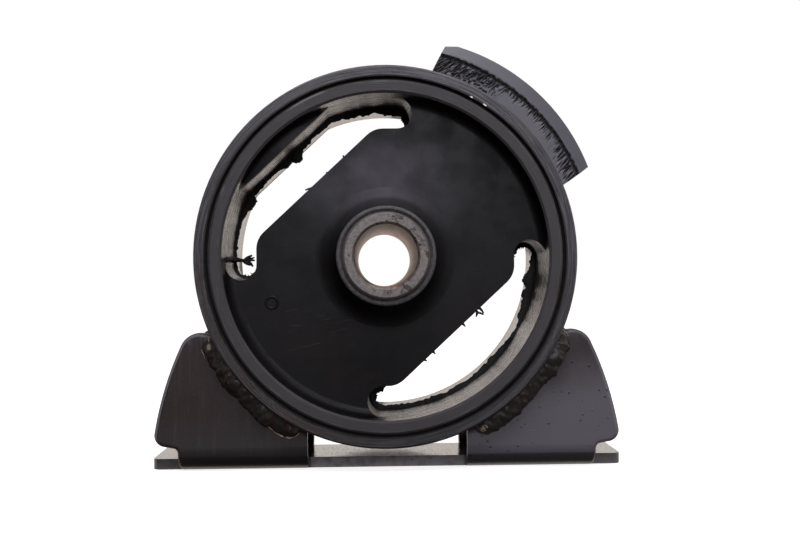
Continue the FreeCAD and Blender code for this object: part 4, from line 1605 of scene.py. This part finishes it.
@dataclass
class Studio:
    """The camera, the floor, the lights and the white surroundings."""

    lens: float = 53.1
    camera_place: Vector = Vector((-2.3, -270.0, -5.0)) * MM
    yaw: float = 1.21
    pitch: float = 0.655
    roll: float = 0.61
    floor_size: float = 6.0
    backdrop: Colour = (1.0, 0.92, 0.86)
    paper: Colour = (0.8, 0.8, 0.8)
    paper_off_camera: Colour = (0.10, 0.08, 0.07)
    floor_glow: float = 0.80
    room: float = 0.03
    back: float = 1.0
    under: float = 0.9
    under_half: float = 12.0
    lamps: tuple[Lamp, ...] = (
        Lamp("above", (0.02, -0.22, 0.36), (0.0, -0.01, 0.02), 0.24, 1.4, (0.97, 0.96, 1.0)),
        Lamp("front_high", (0.0, -0.80, 0.235), (0.0, 0.0, 0.01), 0.20, 2.0,
             (0.93, 0.92, 1.0)),
        Lamp("front_right", (0.60, -0.55, -0.05), (0.03, 0.0, -0.03), 0.35, 1.45,
             (0.95, 0.94, 1.0)))

    def build(self) -> None:
        """Sets everything up."""
        self._camera()
        self._floor()
        self._world()
        for lamp in self.lamps:
            lamp.hang()
        self._colours()

    def _camera(self) -> None:
        """Places the camera."""
        data = bpy.data.cameras.new("camera")
        data.lens = self.lens
        data.sensor_width = 36.0
        data.clip_start = 0.01
        camera = bpy.data.objects.new("camera", data)
        bpy.context.scene.collection.objects.link(camera)
        turn = (Matrix.Rotation(math.radians(-self.yaw), 4, "Z")
                @ Matrix.Rotation(math.radians(90 + self.pitch), 4, "X")
                @ Matrix.Rotation(math.radians(-self.roll), 4, "Z"))
        camera.matrix_world = Matrix.Translation(self.camera_place) @ turn
        bpy.context.scene.camera = camera

    def _floor(self) -> None:
        """Lays a white floor that keeps the mount's shadow."""
        bm = bmesh.new()
        bmesh.ops.create_grid(bm, x_segments=1, y_segments=1, size=self.floor_size / 2)
        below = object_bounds()[0][2] - 0.05 * MM
        bmesh.ops.translate(bm, vec=(0, 0, below), verts=bm.verts)
        data = bpy.data.meshes.new("floor")
        bm.to_mesh(data)
        bm.free()
        floor = bpy.data.objects.new("floor", data)
        bpy.context.scene.collection.objects.link(floor)
        g = Graph("floor_white")
        seen = g.node("LightPath", output="Is Camera Ray")
        behind = g.rise(g.xyz[1], -20.0, 60.0)
        under = g.window(g.xyz[1], 0.0, self.under_half, 0.5)
        paper = g.node("BsdfDiffuse", None, {
            "Color": g.blend(seen, self.paper_off_camera, self.paper)})
        glow = g.node("Emission", None, {
            "Color": g.blend(seen, self.backdrop, (1.0, 1.0, 1.0)),
            "Strength": (seen * self.floor_glow
                         + (1 - seen) * (behind * self.back + under * self.under))})
        both = g.node("AddShader", None, {0: paper, 1: glow})
        g.node("OutputMaterial", None, {"Surface": both})
        data.materials.append(g.material)
        floor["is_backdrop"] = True

    def _world(self) -> None:
        """Makes the surroundings white to the camera, warm behind and dim in front."""
        world = bpy.data.worlds.new("surroundings")
        bpy.context.scene.world = world
        world.use_nodes = True
        g = Graph.over(world.node_tree)
        seen = g.node("LightPath", output="Is Camera Ray")
        heading = g.node("TexCoord", output="Generated")
        split = g.node("SeparateXYZ", None, {0: heading})
        behind = g.rise(Wire(g, split.socket.node.outputs[1]), 0.05, 0.45)
        strength = seen + (1 - seen) * (self.room + behind * self.back)
        colour = g.blend(seen, self.backdrop, (1.0, 1.0, 1.0))
        back = g.node("Background", None, {"Color": colour, "Strength": strength})
        g.node("OutputWorld", None, {"Surface": back})

    @staticmethod
    def _colours() -> None:
        """Shows colours as they are written."""
        bpy.context.scene.view_settings.view_transform = "Standard"


# ---------------------------------------------------------------- assembly


@dataclass
class RingAndBush:
    """The ring, its bush and the sleeve, with the bush's torn flash."""

    def build(self) -> None:
        """Dresses the nodes and adds the torn rubber."""
        dress_node("outer_tube", RingCoat().material())
        dress_node("bush_outer_shell", DarkSteel().material())
        dress_node("inner_sleeve", SleeveSteel().material())
        moulded = MouldedRubber().material()
        dress_node("rubber_spring", moulded)
        GateMark().build(moulded)
        torn = TornRubber().material()
        left = Window(top_reach=2.8 * MM, side_reach=1.4 * MM, has_stop=True, turned=0.0)
        right = Window(top_reach=0.9 * MM, side_reach=0.2 * MM, has_stop=False, turned=180.0)
        FlashFin("flash_left_window", left, 21, (
            (0.0, 0.0), (0.9, 0.0), (1.2, 0.6), (1.6, 1.3), (2.0, 1.6), (2.1, 1.3), (2.2, 1.5),
            (2.28, 1.1), (2.38, 0.9), (2.46, 1.3), (2.56, 0.9), (2.66, 1.2), (2.74, 1.7),
            (2.82, 0.8), (3.0, 0.6), (3.5, 0.7), (3.9, 0.6), (4.1, 0.2)),
            ((2.47, 1.1), (2.52, 0.6), (2.72, 0.5), (3.9, 0.3))).build(torn)
        FlashFin("flash_right_window", right, 35, (
            (0.0, 0.3), (0.5, 0.9), (1.0, 2.0), (1.5, 2.0), (1.8, 1.4), (2.0, 1.0), (2.25, 0.9),
            (2.5, 1.0), (2.62, 0.8), (2.7, 0.5), (2.75, 1.0), (2.8, 1.5), (2.86, 1.9),
            (2.89, 2.4), (2.93, 1.6), (3.0, 0.9), (3.3, 0.8), (3.8, 1.3), (4.2, 1.2),
            (4.6, 0.8), (5.0, 0.3)), ((0.7, 0.4), (2.57, 0.3), (2.887, 0.4))).build(torn)
        LooseThreads().build(torn)


@dataclass
class Bracket:
    """The folded bracket, its four weld beads and the pale threads beside them, painted highlights
    along the weld toes.
    """

    def build(self) -> None:
        """Dresses the bracket and lays the beads."""
        dress_node("mounting_bracket", SheetCoat().material())
        coat = WeldCoat().material()
        for number, face in enumerate(Face):
            for side in Side:
                WeldBead(side, face, 3.0 + 7.0 * number + side.value).build(coat)
        # pale threads as painted highlights along the weld toes
        ToeHighlightLines().build(ToeHighlightSteel().material())


def main() -> None:
    """Builds the mount's looks and its studio."""
    logging.basicConfig(level=logging.INFO, format="%(name)s: %(message)s")
    Studio().build()
    RingAndBush().build()
    Bracket().build()
    StopBlock().build(BlockRubber().material())


if __name__ == "__main__":
    main()
